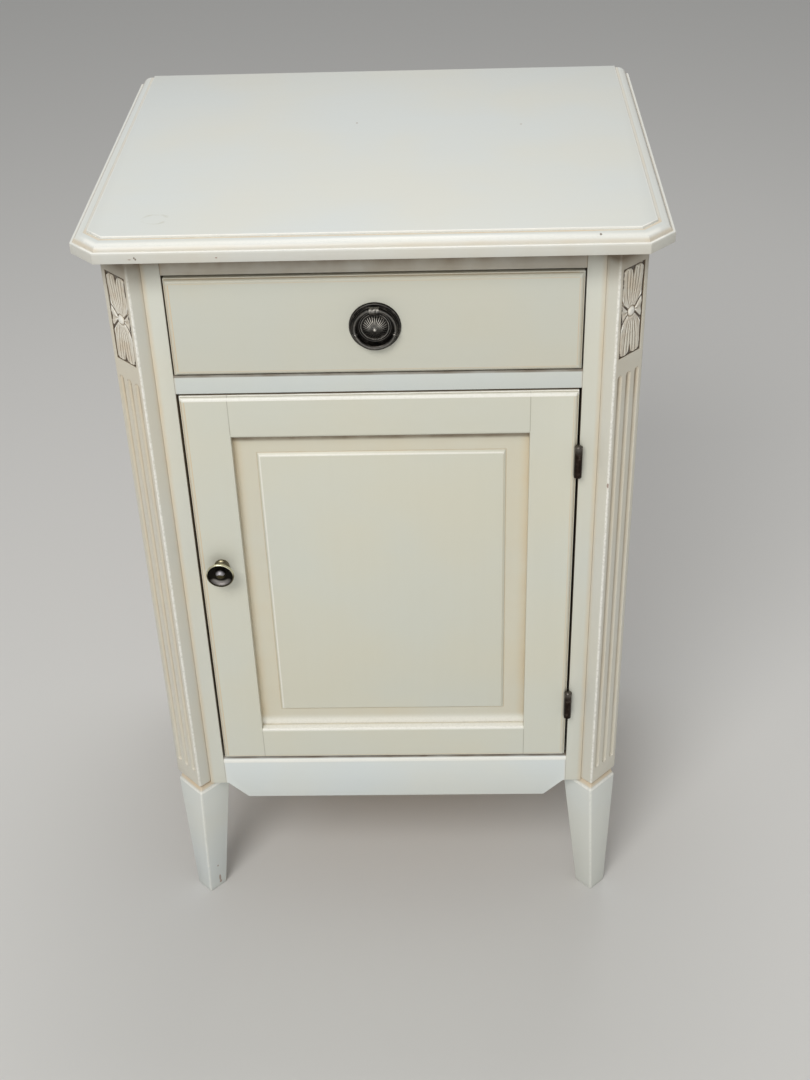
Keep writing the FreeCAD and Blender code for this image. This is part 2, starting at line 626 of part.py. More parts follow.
def case_pieces():
    """Boards, posts, feet and face frame, each cut by the pieces that fit into it."""
    bottom_board = case_board(APRON_TOP - BOTTOM_THICKNESS, APRON_TOP)
    divider = case_board(MID_RAIL_BOTTOM, MID_RAIL_TOP)
    back_panel = wide_box(REAR_POST_INNER_X + BACK_REBATE, BACK_PANEL_Y, BACK_Y,
                          APRON_TOP - BOTTOM_THICKNESS, CASE_TOP)
    rails = {"top_rail": frame_rail(TOP_RAIL_BOTTOM, CASE_TOP),
             "middle_rail": frame_rail(MID_RAIL_BOTTOM, MID_RAIL_TOP), "apron": apron()}
    shelf_front = FRAME_BACK_Y + SHELF_SETBACK
    shelf_back = REAR_POST_Y - SHELF_CLEARANCE
    shelf = wide_box(SIDE_INNER_X - SHELF_CLEARANCE, shelf_front, shelf_back,
                     SHELF_BOTTOM, SHELF_BOTTOM + SHELF_THICKNESS)
    supports = [shelf_support(shelf_front + SUPPORT_MARGIN), shelf_support(shelf_back - SUPPORT_MARGIN)]
    panel = side_panel()
    right = {"front_post": front_post().cut(panel), "front_foot": front_foot(),
             "carved_panel": carved_panel(), "frame_stile": frame_stile().cut(list(rails.values())),
             "side_panel": panel.cut([bottom_board, divider] + supports),
             "rear_post": rear_post().cut([panel, back_panel]), "rear_foot": rear_foot()}
    guide_x = DRAWER_HALF + DRAWER_GUIDE_GAP
    right["drawer_guide"] = box(guide_x, SIDE_INNER_X, FRAME_BACK_Y, REAR_POST_Y,
                                MID_RAIL_TOP, MID_RAIL_TOP + GUIDE_HEIGHT)
    right["top_cleat"] = box(SIDE_INNER_X - CLEAT_WIDTH, SIDE_INNER_X, FRAME_BACK_Y, REAR_POST_Y,
                             TOP_RAIL_BOTTOM, CASE_TOP)
    pieces = {"bottom_board": bottom_board, "drawer_divider": divider, "back_panel": back_panel,
              "shelf": shelf, **rails}
    pieces["shelf_supports"] = group(supports + [other_side(support) for support in supports])
    for name, shape in right.items():
        pieces["right_" + name] = shape
        pieces["left_" + name] = other_side(shape)
    pieces["rear_top_rail"] = wide_box(REAR_POST_INNER_X, BACK_PANEL_Y - REAR_RAIL_THICKNESS, BACK_PANEL_Y,
                                       TOP_RAIL_BOTTOM, CASE_TOP)
    stop_y = DRAWER_END_Y + DRAWER_RUN_GAP
    stop = box(STOP_INSET, STOP_INSET + STOP_WIDTH, stop_y, stop_y + STOP_LENGTH,
               MID_RAIL_TOP, MID_RAIL_TOP + STOP_HEIGHT)
    pieces["drawer_stops"] = group([stop, other_side(stop)])
    dowels = [dowel(front_dowel_axis()), dowel(rear_dowel_axis())]
    pieces["foot_dowels"] = group(dowels + [other_side(peg) for peg in dowels])
    pieces["top_board"] = top_board()
    return pieces


def moulded_front(board, half, z_low, z_high):
    """Board of a drawer front or door with the edge moulding run round the outline of the whole front."""
    corners = [(-half, z_low), (half, z_low), (half, z_high), (-half, z_high)]
    steps = ovolo_waste(EDGE_FILLET, EDGE_OVOLO, EDGE_OVOLO)
    steps += [(EDGE_FILLET + EDGE_OVOLO, OVERRUN), (-OVERRUN, OVERRUN)]
    bars = edge_waste(corners + corners[:1], 0, steps)
    return board.cut([stood_up(bar, 0, FACE_Y + EDGE_OVOLO, 0) for bar in bars])


def drawer_tails():
    """Dovetails at the front end of the right-hand drawer side."""
    low = DRAWER_BOTTOM + TAIL_MARGIN
    pitch = (DRAWER_SIDE_TOP - TAIL_MARGIN - low) / TAIL_COUNT
    tails = []
    for place in range(TAIL_COUNT):
        z = low + (place + 1 / 2) * pitch
        tip = pitch * TAIL_TIP_SHARE / 2
        root = pitch * TAIL_ROOT_SHARE / 2
        corners = [(FRONT_BACK_Y - TAIL_LENGTH, z - tip), (FRONT_BACK_Y, z - root),
                   (FRONT_BACK_Y, z + root), (FRONT_BACK_Y - TAIL_LENGTH, z + tip)]
        wire = outline(corners, lambda y, height: Vector(DRAWER_HALF - DRAWER_SIDE_THICKNESS, y, height))
        tails.append(Part.Face(wire).extrude(Vector(DRAWER_SIDE_THICKNESS, 0, 0)))
    return tails


def drawer_pieces():
    """Drawer box: dovetailed front and sides, housed back, and a floor in grooves."""
    inner = DRAWER_HALF - DRAWER_SIDE_THICKNESS
    floor = wide_box(inner + DRAWER_FLOOR_GROOVE, FRONT_BACK_Y - DRAWER_FLOOR_GROOVE, DRAWER_END_Y,
                     DRAWER_FLOOR_Z, DRAWER_FLOOR_Z + DRAWER_FLOOR_THICKNESS)
    back = wide_box(inner + DRAWER_BACK_HOUSING, DRAWER_END_Y - DRAWER_BACK_THICKNESS, DRAWER_END_Y,
                    DRAWER_FLOOR_Z + DRAWER_FLOOR_THICKNESS, DRAWER_SIDE_TOP - DRAWER_BACK_DROP)
    side = box(inner, DRAWER_HALF, FRONT_BACK_Y, DRAWER_END_Y, DRAWER_SIDE_BOTTOM, DRAWER_SIDE_TOP)
    tails = drawer_tails()
    right_side = joined(side, *tails).cut([floor, back])
    front = wide_box(DRAWER_HALF, FACE_Y, FRONT_BACK_Y, DRAWER_BOTTOM, DRAWER_TOP)
    front = moulded_front(front, DRAWER_HALF, DRAWER_BOTTOM, DRAWER_TOP)
    shank = rod(SHANK_RADIUS + SHANK_CLEARANCE, Vector(0, FACE_Y - OVERRUN, eye_height()),
                Vector(0, FRONT_BACK_Y + OVERRUN, eye_height()))
    front = front.cut(tails + [other_side(tail) for tail in tails] + [floor, shank])
    return {"drawer_front": front, "drawer_right_side": right_side,
            "drawer_left_side": other_side(right_side), "drawer_back": back, "drawer_floor": floor}


def pivot_reach():
    """Half length of the ring's pivot bar, clear of both ends of the eye."""
    return EYE_WIDTH / 2 + EYE_GAP + RING_ROD_RADIUS / 2


def pivot_rise():
    """Height of the pivot above the middle of the plate."""
    return math.sqrt(RING_RADIUS ** 2 - pivot_reach() ** 2)


def eye_height():
    """Height of the eye bolt above the floor."""
    return PULL_Z + pivot_rise()


def ring_arc(rod_radius, middle, sweep):
    """Stretch of round rod along the ring, about a middle angle from the X axis."""
    circle = Part.makeCircle(rod_radius, Vector(RING_RADIUS, 0, RING_STANDOFF), Vector(0, 1, 0))
    arc = Part.Face(Part.Wire(circle)).revolve(ORIGIN, UP, sweep)
    arc.rotate(ORIGIN, UP, middle - sweep / 2)
    return arc


def pull_ring():
    """Ring with a swelled lower part between two collars and a straight bar through the eye."""
    gap = math.degrees(math.asin(pivot_reach() / RING_RADIUS))
    left = Vector(-pivot_reach(), pivot_rise(), RING_STANDOFF)
    right = Vector(pivot_reach(), pivot_rise(), RING_STANDOFF)
    pieces = [ring_arc(RING_SWELL_RADIUS, 270, RING_SWELL_ANGLE)]
    for side in (-1, 1):
        pieces.append(ring_arc(RING_COLLAR_RADIUS, 270 + side * RING_SWELL_ANGLE / 2, RING_COLLAR_ANGLE))
    pieces += [rod(PIVOT_RADIUS, left, right), Part.makeSphere(RING_ROD_RADIUS, left),
               Part.makeSphere(RING_ROD_RADIUS, right)]
    ring = joined(ring_arc(RING_ROD_RADIUS, 270, 360 - 2 * gap), *pieces)
    return stood_up(ring, 0, FACE_Y, PULL_Z)


def pull_plate():
    """Round backplate: beaded rim, sunk ground, and a domed rosette with a small tip."""
    rim_in = PLATE_RADIUS - 2 * PLATE_RIM_WIDTH
    rim_middle = PLATE_RADIUS - PLATE_RIM_WIDTH
    bead_out = ROSETTE_RADIUS
    bead_in = ROSETTE_RADIUS - 2 * ROSETTE_BEAD
    dome = (bead_in, PLATE_GROUND, ROSETTE_HEIGHT)
    dome_end = on_cap(*dome, ROSETTE_TIP_RADIUS)
    tip = (ROSETTE_TIP_RADIUS, dome_end[1], ROSETTE_TIP_HEIGHT)
    plate = turned([(0, 0), (PLATE_RADIUS, 0), (PLATE_RADIUS, PLATE_EDGE),
                    ((rim_middle, PLATE_RIM_HEIGHT), (rim_in, PLATE_GROUND)), (bead_out, PLATE_GROUND),
                    ((bead_out - ROSETTE_BEAD, PLATE_GROUND + ROSETTE_BEAD), (bead_in, PLATE_GROUND)),
                    (on_cap(*dome, bead_in / 2), dome_end),
                    (on_cap(*tip, ROSETTE_TIP_RADIUS / 2), on_cap(*tip, 0))])
    eye = Vector(0, pivot_rise(), 0)
    hole = rod(SHANK_RADIUS + SHANK_CLEARANCE, eye - UP * OVERRUN, eye + UP * OVERRUN)
    seat = rod(EYE_NECK_RADIUS + SHANK_CLEARANCE, eye + UP * PLATE_GROUND, eye + UP * OVERRUN)
    return stood_up(plate.cut([hole, seat]), 0, FACE_Y, PULL_Z)


def eye_bolt():
    """Eye that carries the ring, flattened behind to clear the plate's rim, on a shank through the front."""
    shank_end = -FRONT_THICKNESS - NUT_THICKNESS - SHANK_TAIL
    centre = UP * RING_STANDOFF
    across = Vector(EYE_WIDTH / 2, 0, 0)
    past = Vector(OVERRUN, 0, 0)
    barrel = rod(EYE_RADIUS, centre - across, centre + across)
    barrel = barrel.cut(wide_box(OVERRUN, -OVERRUN, OVERRUN, -OVERRUN, PLATE_RIM_HEIGHT + SHANK_CLEARANCE))
    neck = rod(EYE_NECK_RADIUS, UP * PLATE_GROUND, centre)
    shank = rod(SHANK_RADIUS, UP * shank_end, centre)
    bore = rod(PIVOT_RADIUS + PIVOT_CLEARANCE, centre - past, centre + past)
    return stood_up(joined(barrel, neck, shank).cut(bore), 0, FACE_Y, eye_height())


def pull_nut():
    """Hexagon nut on the eye bolt, inside the drawer."""
    reach = NUT_ACROSS_FLATS / 2 / math.cos(math.pi / 6)
    angles = [math.pi / 3 * place for place in range(6)]
    nut = prism([(reach * math.cos(angle), reach * math.sin(angle)) for angle in angles], -NUT_THICKNESS, 0)
    nut = nut.cut(rod(SHANK_RADIUS + SHANK_CLEARANCE, UP * -OVERRUN, UP * OVERRUN))
    return stood_up(nut, 0, FRONT_BACK_Y, eye_height())


def knob():
    """Turned knob: round foot, waisted neck, dished face and a central button."""
    foot_z = KNOB_PROJECTION * KNOB_FOOT_SHARE
    cove_z = KNOB_PROJECTION * KNOB_COVE_SHARE
    flare_z = KNOB_PROJECTION * KNOB_FLARE_SHARE
    edge_z = KNOB_PROJECTION * KNOB_EDGE_SHARE
    lip_z = KNOB_PROJECTION * KNOB_LIP_SHARE
    dish_z = KNOB_PROJECTION * KNOB_DISH_SHARE
    button_z = KNOB_PROJECTION * KNOB_BUTTON_SHARE
    bend = math.sin(math.pi / 4)
    waist = KNOB_FOOT_RADIUS - KNOB_NECK_RADIUS
    spread = KNOB_RADIUS - KNOB_NECK_RADIUS
    cove = (KNOB_FOOT_RADIUS - waist * bend, cove_z - (cove_z - foot_z) * bend)
    flare = (KNOB_NECK_RADIUS + spread * (1 - bend), cove_z + (flare_z - cove_z) * bend)
    lip_in = KNOB_RADIUS - KNOB_LIP
    hollow = lip_in - KNOB_BUTTON_RADIUS
    shoulder = (KNOB_RADIUS - KNOB_LIP * (1 - bend), edge_z + (lip_z - edge_z) * bend)
    dish = (KNOB_BUTTON_RADIUS + hollow * bend, lip_z - (lip_z - dish_z) * bend)
    crown = on_cap(KNOB_BUTTON_RADIUS, button_z, KNOB_PROJECTION - button_z, KNOB_BUTTON_RADIUS / 2)
    body = turned([(0, 0), (KNOB_FOOT_RADIUS, 0), (KNOB_FOOT_RADIUS, foot_z),
                   (cove, (KNOB_NECK_RADIUS, cove_z)), (flare, (KNOB_RADIUS, flare_z)), (KNOB_RADIUS, edge_z),
                   (shoulder, (lip_in, lip_z)), (dish, (KNOB_BUTTON_RADIUS, dish_z)),
                   (KNOB_BUTTON_RADIUS, button_z), (crown, (0, KNOB_PROJECTION))])
    bore = rod(KNOB_SCREW_SHANK + SCREW_CLEARANCE, UP * -OVERRUN, UP * (KNOB_SCREW_GRIP + SCREW_CLEARANCE))
    return stood_up(body.cut(bore), KNOB_X, FACE_Y, KNOB_Z)


def knob_screw(clearance=0):
    """Screw through the door stile into the knob; a clearance makes it the screw's hole."""
    length = FRONT_THICKNESS + KNOB_SCREW_GRIP
    screw = pan_headed(KNOB_SCREW_HEAD, KNOB_SCREW_HEAD_HEIGHT, KNOB_SCREW_SHANK, length, clearance)
    return driven(screw, Vector(KNOB_X, FRONT_BACK_Y, KNOB_Z), Vector(0, -1, 0))


def door_rail(z_low, z_high, tenon_low, tenon_high, sight_z):
    """Rail of the door with a tenon in line with the panel groove, rounded along the sight of the panel."""
    body = wide_box(SIGHT_HALF, FACE_Y, FRONT_BACK_Y, z_low, z_high)
    middle = Vector(0, FACE_Y, sight_z)
    inner = [edge for edge in body.Edges if edge.CenterOfMass.isEqual(middle, DOOR_SIGHT_ROUND / 2)]
    body = body.makeFillet(DOOR_SIGHT_ROUND, inner)
    tenon = wide_box(SIGHT_HALF + DOOR_TENON_LENGTH, PANEL_Y, PANEL_Y + PANEL_TONGUE_THICKNESS,
                     tenon_low, tenon_high)
    return joined(body, tenon)


def door_panel():
    """Floating panel with a flat margin and a bevelled raised field."""
    reach = PANEL_TONGUE_LENGTH
    half = SIGHT_HALF + reach
    low = SIGHT_BOTTOM - reach
    high = SIGHT_TOP + reach
    corners = [(-half, low), (half, low), (half, high), (-half, high)]
    board = prism(corners, -PANEL_TONGUE_THICKNESS, FIELD_RISE)
    margin = reach + PANEL_MARGIN
    steps = [(-OVERRUN, 0), (margin, 0), (margin + FIELD_BEVEL, FIELD_RISE), (margin + FIELD_BEVEL, OVERRUN),
             (-OVERRUN, OVERRUN)]
    return stood_up(board.cut(edge_waste(corners + corners[:1], 0, steps)), 0, PANEL_Y, 0)


def door_pieces():
    """Door frame and panel, with every frame piece moulded along the door's outer edge."""
    groove = PANEL_TONGUE_LENGTH + PANEL_SLACK
    slot = wide_box(SIGHT_HALF + groove, PANEL_Y, PANEL_Y + PANEL_TONGUE_THICKNESS,
                    SIGHT_BOTTOM - groove, SIGHT_TOP + groove)
    top = door_rail(SIGHT_TOP, DOOR_TOP, SIGHT_TOP + groove, DOOR_TOP - DOOR_TENON_SHOULDER, SIGHT_TOP)
    bottom = door_rail(DOOR_BOTTOM, SIGHT_BOTTOM, DOOR_BOTTOM + DOOR_TENON_SHOULDER, SIGHT_BOTTOM - groove,
                       SIGHT_BOTTOM)
    stile = box(SIGHT_HALF, DOOR_HALF, FACE_Y, FRONT_BACK_Y, DOOR_BOTTOM, DOOR_TOP)
    stile = stile.cut([slot, top, bottom])
    knob_side = other_side(stile).cut(knob_screw(SCREW_CLEARANCE))
    pieces = {"door_right_stile": stile, "door_left_stile": knob_side,
              "door_top_rail": top.cut(slot), "door_bottom_rail": bottom.cut(slot)}
    pieces = {name: moulded_front(shape, DOOR_HALF, DOOR_BOTTOM, DOOR_TOP) for name, shape in pieces.items()}
    pieces["door_panel"] = door_panel()
    return pieces


def hinge_rod(radius, z_low, z_high):
    """Round rod on the hinge axis."""
    return rod(radius, Vector(HINGE_X, HINGE_Y, z_low), Vector(HINGE_X, HINGE_Y, z_high))


def hinge_leaf(x_low, x_high, z, knuckles, others):
    """One leaf of a hinge with its own knuckles, cut clear of the other leaf's."""
    half = HINGE_LENGTH / 2
    plate = box(x_low, x_high, HINGE_Y, FRAME_Y + LEAF_REACH, z - half, z + half)
    clear = KNUCKLE_RADIUS + KNUCKLE_CLEARANCE
    waste = [hinge_rod(clear, low - KNUCKLE_GAP, high + KNUCKLE_GAP) for low, high in others]
    barrel = [hinge_rod(KNUCKLE_RADIUS, low, high) for low, high in knuckles]
    bore = hinge_rod(HINGE_PIN_RADIUS + HINGE_PIN_CLEARANCE, z - half - OVERRUN, z + half + OVERRUN)
    return joined(plate.cut(waste), *barrel).cut(bore)


def hinge_pin(z):
    """Hinge pin with a low domed head, seated on top of the barrel."""
    half = HINGE_LENGTH / 2
    head = (HINGE_HEAD_RADIUS, half, HINGE_HEAD_HEIGHT)
    pin = turned([(0, -half), (HINGE_PIN_RADIUS, -half), (HINGE_PIN_RADIUS, half), (HINGE_HEAD_RADIUS, half),
                  (on_cap(*head, HINGE_HEAD_RADIUS / 2), on_cap(*head, 0))])
    pin.translate(Vector(HINGE_X, HINGE_Y, z))
    return pin


def hinge_screws(z, face_x, direction, clearance=0):
    """Two countersunk screws in one leaf; a clearance makes them its holes."""
    sizes = (HINGE_SCREW_HEAD, HINGE_SCREW_HEAD_HEIGHT, HINGE_SCREW_SHANK, HINGE_SCREW_LENGTH)
    screws = []
    for side in (-1, 1):
        head = Vector(face_x, FRAME_Y + LEAF_REACH / 2, z + side * HINGE_SCREW_SPREAD / 2)
        screws.append(driven(countersunk(*sizes, clearance), head, Vector(direction, 0, 0)))
    return screws


def hinge_pieces():
    """Both butt hinges and their screws, with the holes that the screws need in leaves, stile and door."""
    case_face = HALF_OPENING - LEAF_THICKNESS
    door_face = DOOR_HALF + LEAF_THICKNESS
    pieces = {}
    case_screws = []
    door_screws = []
    case_holes = []
    door_holes = []
    for name, z in (("upper", DOOR_TOP - HINGE_INSET), ("lower", DOOR_BOTTOM + HINGE_INSET)):
        low = z - HINGE_LENGTH / 2
        third = HINGE_LENGTH / 3
        middle = [(low + third + KNUCKLE_GAP, low + 2 * third - KNUCKLE_GAP)]
        outer = [(low, low + third), (low + 2 * third, low + HINGE_LENGTH)]
        case_screws += hinge_screws(z, case_face, 1)
        door_screws += hinge_screws(z, door_face, -1)
        case_cut = hinge_screws(z, case_face, 1, SCREW_CLEARANCE)
        door_cut = hinge_screws(z, door_face, -1, SCREW_CLEARANCE)
        case_leaf = hinge_leaf(case_face, HALF_OPENING, z, outer, middle)
        door_leaf = hinge_leaf(DOOR_HALF, door_face, z, middle, outer)
        pieces[name + "_hinge_case_leaf"] = case_leaf.cut(case_cut)
        pieces[name + "_hinge_door_leaf"] = door_leaf.cut(door_cut)
        pieces[name + "_hinge_pin"] = hinge_pin(z)
        case_holes += case_cut
        door_holes += door_cut
    pieces["hinge_case_screws"] = group(case_screws)
    pieces["hinge_door_screws"] = group(door_screws)
    return pieces, case_holes, door_holes


def catch_pieces():
    """Magnet catch under the middle rail, its strike plate on the door, and their screws."""
    front = FRONT_BACK_Y + STRIKE_THICKNESS + CATCH_GAP
    foot_z = MID_RAIL_BOTTOM - CATCH_FOOT_THICKNESS
    middle = -(HALF_OPENING - CATCH_INSET)
    half = CATCH_WIDTH / 2
    foot_plate = box(middle - half, middle + half, front, front + CATCH_DEPTH, foot_z, MID_RAIL_BOTTOM)
    body_half = CATCH_BODY_WIDTH / 2
    body = box(middle - body_half, middle + body_half, front, front + CATCH_DEPTH,
               MID_RAIL_BOTTOM - CATCH_BODY_HEIGHT, foot_z)
    screws = []
    holes = []
    for side in (-1, 1):
        head = Vector(middle + side * (half + body_half) / 2, front + CATCH_DEPTH / 2, foot_z)
        sizes = (CATCH_SCREW_HEAD, CATCH_SCREW_HEAD_HEIGHT, CATCH_SCREW_SHANK, CATCH_SCREW_LENGTH)
        screws.append(driven(pan_headed(*sizes), head, UP))
        holes.append(driven(pan_headed(*sizes, SCREW_CLEARANCE), head, UP))
    strike_top = DOOR_TOP - STRIKE_DROP
    strike = box(middle - STRIKE_WIDTH / 2, middle + STRIKE_WIDTH / 2, FRONT_BACK_Y,
                 FRONT_BACK_Y + STRIKE_THICKNESS, strike_top - STRIKE_HEIGHT, strike_top)
    catch = joined(foot_plate, body).cut(holes)
    return {"magnet_catch": catch, "catch_screws": group(screws), "strike_plate": strike}, holes


def top_screws(clearance=0):
    """Countersunk screws through the cleats into the top; a clearance makes them their holes."""
    screws = []
    length = TOP_RAIL_HEIGHT + TOP_SCREW_BITE
    for x in (SIDE_INNER_X - CLEAT_WIDTH / 2, CLEAT_WIDTH / 2 - SIDE_INNER_X):
        for y in (FRAME_BACK_Y + TOP_SCREW_MARGIN, REAR_POST_Y - TOP_SCREW_MARGIN):
            screw = countersunk(SCREW_HEAD, SCREW_HEAD_HEIGHT, SCREW_SHANK, length, clearance)
            screws.append(driven(screw, Vector(x, y, TOP_RAIL_BOTTOM), UP))
    return screws


def back_screws(clearance=0):
    """Pan-headed screws that hold the back panel to the rear posts; a clearance makes them their holes."""
    screws = []
    low = APRON_TOP - BOTTOM_THICKNESS + BACK_SCREW_MARGIN
    pitch = (CASE_TOP - BACK_SCREW_MARGIN - low) / (BACK_SCREWS_PER_POST - 1)
    for x in (-REAR_POST_INNER_X - BACK_REBATE / 2, REAR_POST_INNER_X + BACK_REBATE / 2):
        for place in range(BACK_SCREWS_PER_POST):
            screw = pan_headed(SCREW_HEAD, SCREW_HEAD_HEIGHT, SCREW_SHANK, BACK_SCREW_LENGTH, clearance)
            screws.append(driven(screw, Vector(x, BACK_Y, low + place * pitch), Vector(0, -1, 0)))
    return screws


def drilled(pieces, names, holes):
    """Cut the same screw holes through every piece named."""
    for name in names:
        pieces[name] = pieces[name].cut(holes)


def cabinet():
    """Every piece of the cabinet under its own name."""
    pieces = case_pieces()
    pieces.update(drawer_pieces())
    pieces.update(door_pieces())
    pieces.update({"pull_plate": pull_plate(), "pull_eye_bolt": eye_bolt(), "pull_ring": pull_ring(),
                   "pull_nut": pull_nut(), "knob": knob(), "knob_screw": knob_screw()})
    hinges, case_holes, door_holes = hinge_pieces()
    pieces.update(hinges)
    drilled(pieces, ["right_frame_stile"], case_holes)
    drilled(pieces, ["door_right_stile"], door_holes)
    catch, catch_holes = catch_pieces()
    pieces.update(catch)
    drilled(pieces, ["middle_rail", "drawer_divider"], catch_holes)
    pieces["top_screws"] = group(top_screws())
    drilled(pieces, ["left_top_cleat", "right_top_cleat", "top_board"], top_screws(SCREW_CLEARANCE))
    pieces["back_screws"] = group(back_screws())
    drilled(pieces, ["back_panel", "left_rear_post", "right_rear_post"], back_screws(SCREW_CLEARANCE))
    return pieces


def main():
    """Write one STEP file for each piece."""
    os.makedirs("parts", exist_ok=True)
    for name, shape in cabinet().items():
        shape.exportStep("parts/" + name + ".step")


main()
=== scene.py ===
# %% [markdown]
# # A cream-painted side cabinet
# One drawer with a ring pull sits over a panelled door. Canted corner posts carry flutes and a small
# carved panel, and they run down to tapered feet. The finish is a satin cream paint with a tan glaze
# that was wiped back, so that it stays only in quirks, flutes and carving. The packed model gives every
# board and fitting at its real size; this lesson adds the eased edges, the carving, the fine metalwork
# and the finishes. Blender works in metres; small sizes are given in millimetres and turned with MM.

# %% Load the packed model
import json
import math

import bmesh
import bpy
import numpy as np
from mathutils import Matrix, Vector


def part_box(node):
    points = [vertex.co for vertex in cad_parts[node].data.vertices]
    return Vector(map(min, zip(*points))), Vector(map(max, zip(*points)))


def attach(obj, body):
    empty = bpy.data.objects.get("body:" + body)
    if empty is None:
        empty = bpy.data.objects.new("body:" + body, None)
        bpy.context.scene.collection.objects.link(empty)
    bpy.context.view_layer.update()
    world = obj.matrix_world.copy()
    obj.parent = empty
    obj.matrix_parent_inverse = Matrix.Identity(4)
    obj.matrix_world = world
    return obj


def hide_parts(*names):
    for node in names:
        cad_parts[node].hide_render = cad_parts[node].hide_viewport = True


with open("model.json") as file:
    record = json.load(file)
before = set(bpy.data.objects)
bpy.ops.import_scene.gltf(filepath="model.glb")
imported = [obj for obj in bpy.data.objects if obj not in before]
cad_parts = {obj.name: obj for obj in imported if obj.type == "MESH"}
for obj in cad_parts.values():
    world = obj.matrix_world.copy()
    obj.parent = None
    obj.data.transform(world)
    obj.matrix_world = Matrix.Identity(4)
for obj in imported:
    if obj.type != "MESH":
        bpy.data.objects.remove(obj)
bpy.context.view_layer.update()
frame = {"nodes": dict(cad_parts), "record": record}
nodes = frame["nodes"]
body_of = {node: body for body, held in frame["record"]["behaviour"]["bodies"].items() for node in held}
MM = 0.001

# %% [markdown]
# ## The view
# The cabinet is seen from a little above its top and slightly to the right of its middle, with the
# camera tipped well down. A camera's place and turn can be found by matching known corners; here they are
# written as the result: pan about the upright axis, tilt about the level one, and a small roll.

# %% Camera
IMAGE_LONG_SIDE = 1080
FOCAL_PIXELS = 1547.19
SENSOR = 36.0
CAMERA_PLACE = Vector((0.0560, -1.2122, 1.1871))
CAMERA_PAN = math.radians(2.105)
CAMERA_TILT = math.radians(-35.40)
CAMERA_ROLL = math.radians(1.978)

camera = bpy.data.objects.new("camera", bpy.data.cameras.new("camera"))
bpy.context.collection.objects.link(camera)
camera.data.sensor_width = SENSOR
camera.data.lens = FOCAL_PIXELS * SENSOR / IMAGE_LONG_SIDE
aim = Matrix.Rotation(CAMERA_PAN, 3, "Z") @ Matrix.Rotation(CAMERA_TILT, 3, "X")
aim = aim @ Matrix.Rotation(CAMERA_ROLL, 3, "Y") @ Matrix.Rotation(math.pi / 2, 3, "X")
camera.matrix_world = Matrix.Translation(CAMERA_PLACE) @ aim.to_4x4()
bpy.context.scene.camera = camera
bpy.context.scene.view_settings.view_transform = "Standard"
print("lens", round(camera.data.lens, 2), "mm")

# %% [markdown]
# ## Writing shader maths as Python
# A finish is a network of nodes, and most of its nodes are arithmetic. They could be added and linked one
# by one, but a small class that wraps one output socket lets the arithmetic be written as an expression:
# every operator adds one Math node. Colours are chosen as they look on a screen, and Blender works in
# linear light, so a helper turns the one into the other.

# %% Colours and wires


def srgb(red, green, blue):
    """Linear colour of a screen colour given as three bytes."""
    steps = [value / 255 for value in (red, green, blue)]
    linear = [v / 12.92 if v <= 0.04045 else ((v + 0.055) / 1.055) ** 2.4 for v in steps]
    return (*linear, 1.0)


class Wire:
    """An output socket that arithmetic can work on; each operator adds a Math node to its finish."""

    def __init__(self, finish, socket):
        self.finish = finish
        self.socket = socket

    def __add__(self, other):
        return self.finish.math("ADD", self, other)

    def __radd__(self, other):
        return self.finish.math("ADD", other, self)

    def __sub__(self, other):
        return self.finish.math("SUBTRACT", self, other)

    def __rsub__(self, other):
        return self.finish.math("SUBTRACT", other, self)

    def __mul__(self, other):
        return self.finish.math("MULTIPLY", self, other)

    def __rmul__(self, other):
        return self.finish.math("MULTIPLY", other, self)

    def __truediv__(self, other):
        return self.finish.math("DIVIDE", self, other)

    def __abs__(self):
        return self.finish.math("ABSOLUTE", self)


print("middle grey in linear light", round(srgb(128, 128, 128)[0], 3))

# %% [markdown]
# ## A finish and its nodes
# A finish is one material with the helpers that build it. All other nodes come from one method, which sets
# a node's settings first and then fills or links its inputs. Positions are read from each object's own
# coordinates, in millimetres, so a mark stays on its board when the board moves.

# %% Finish


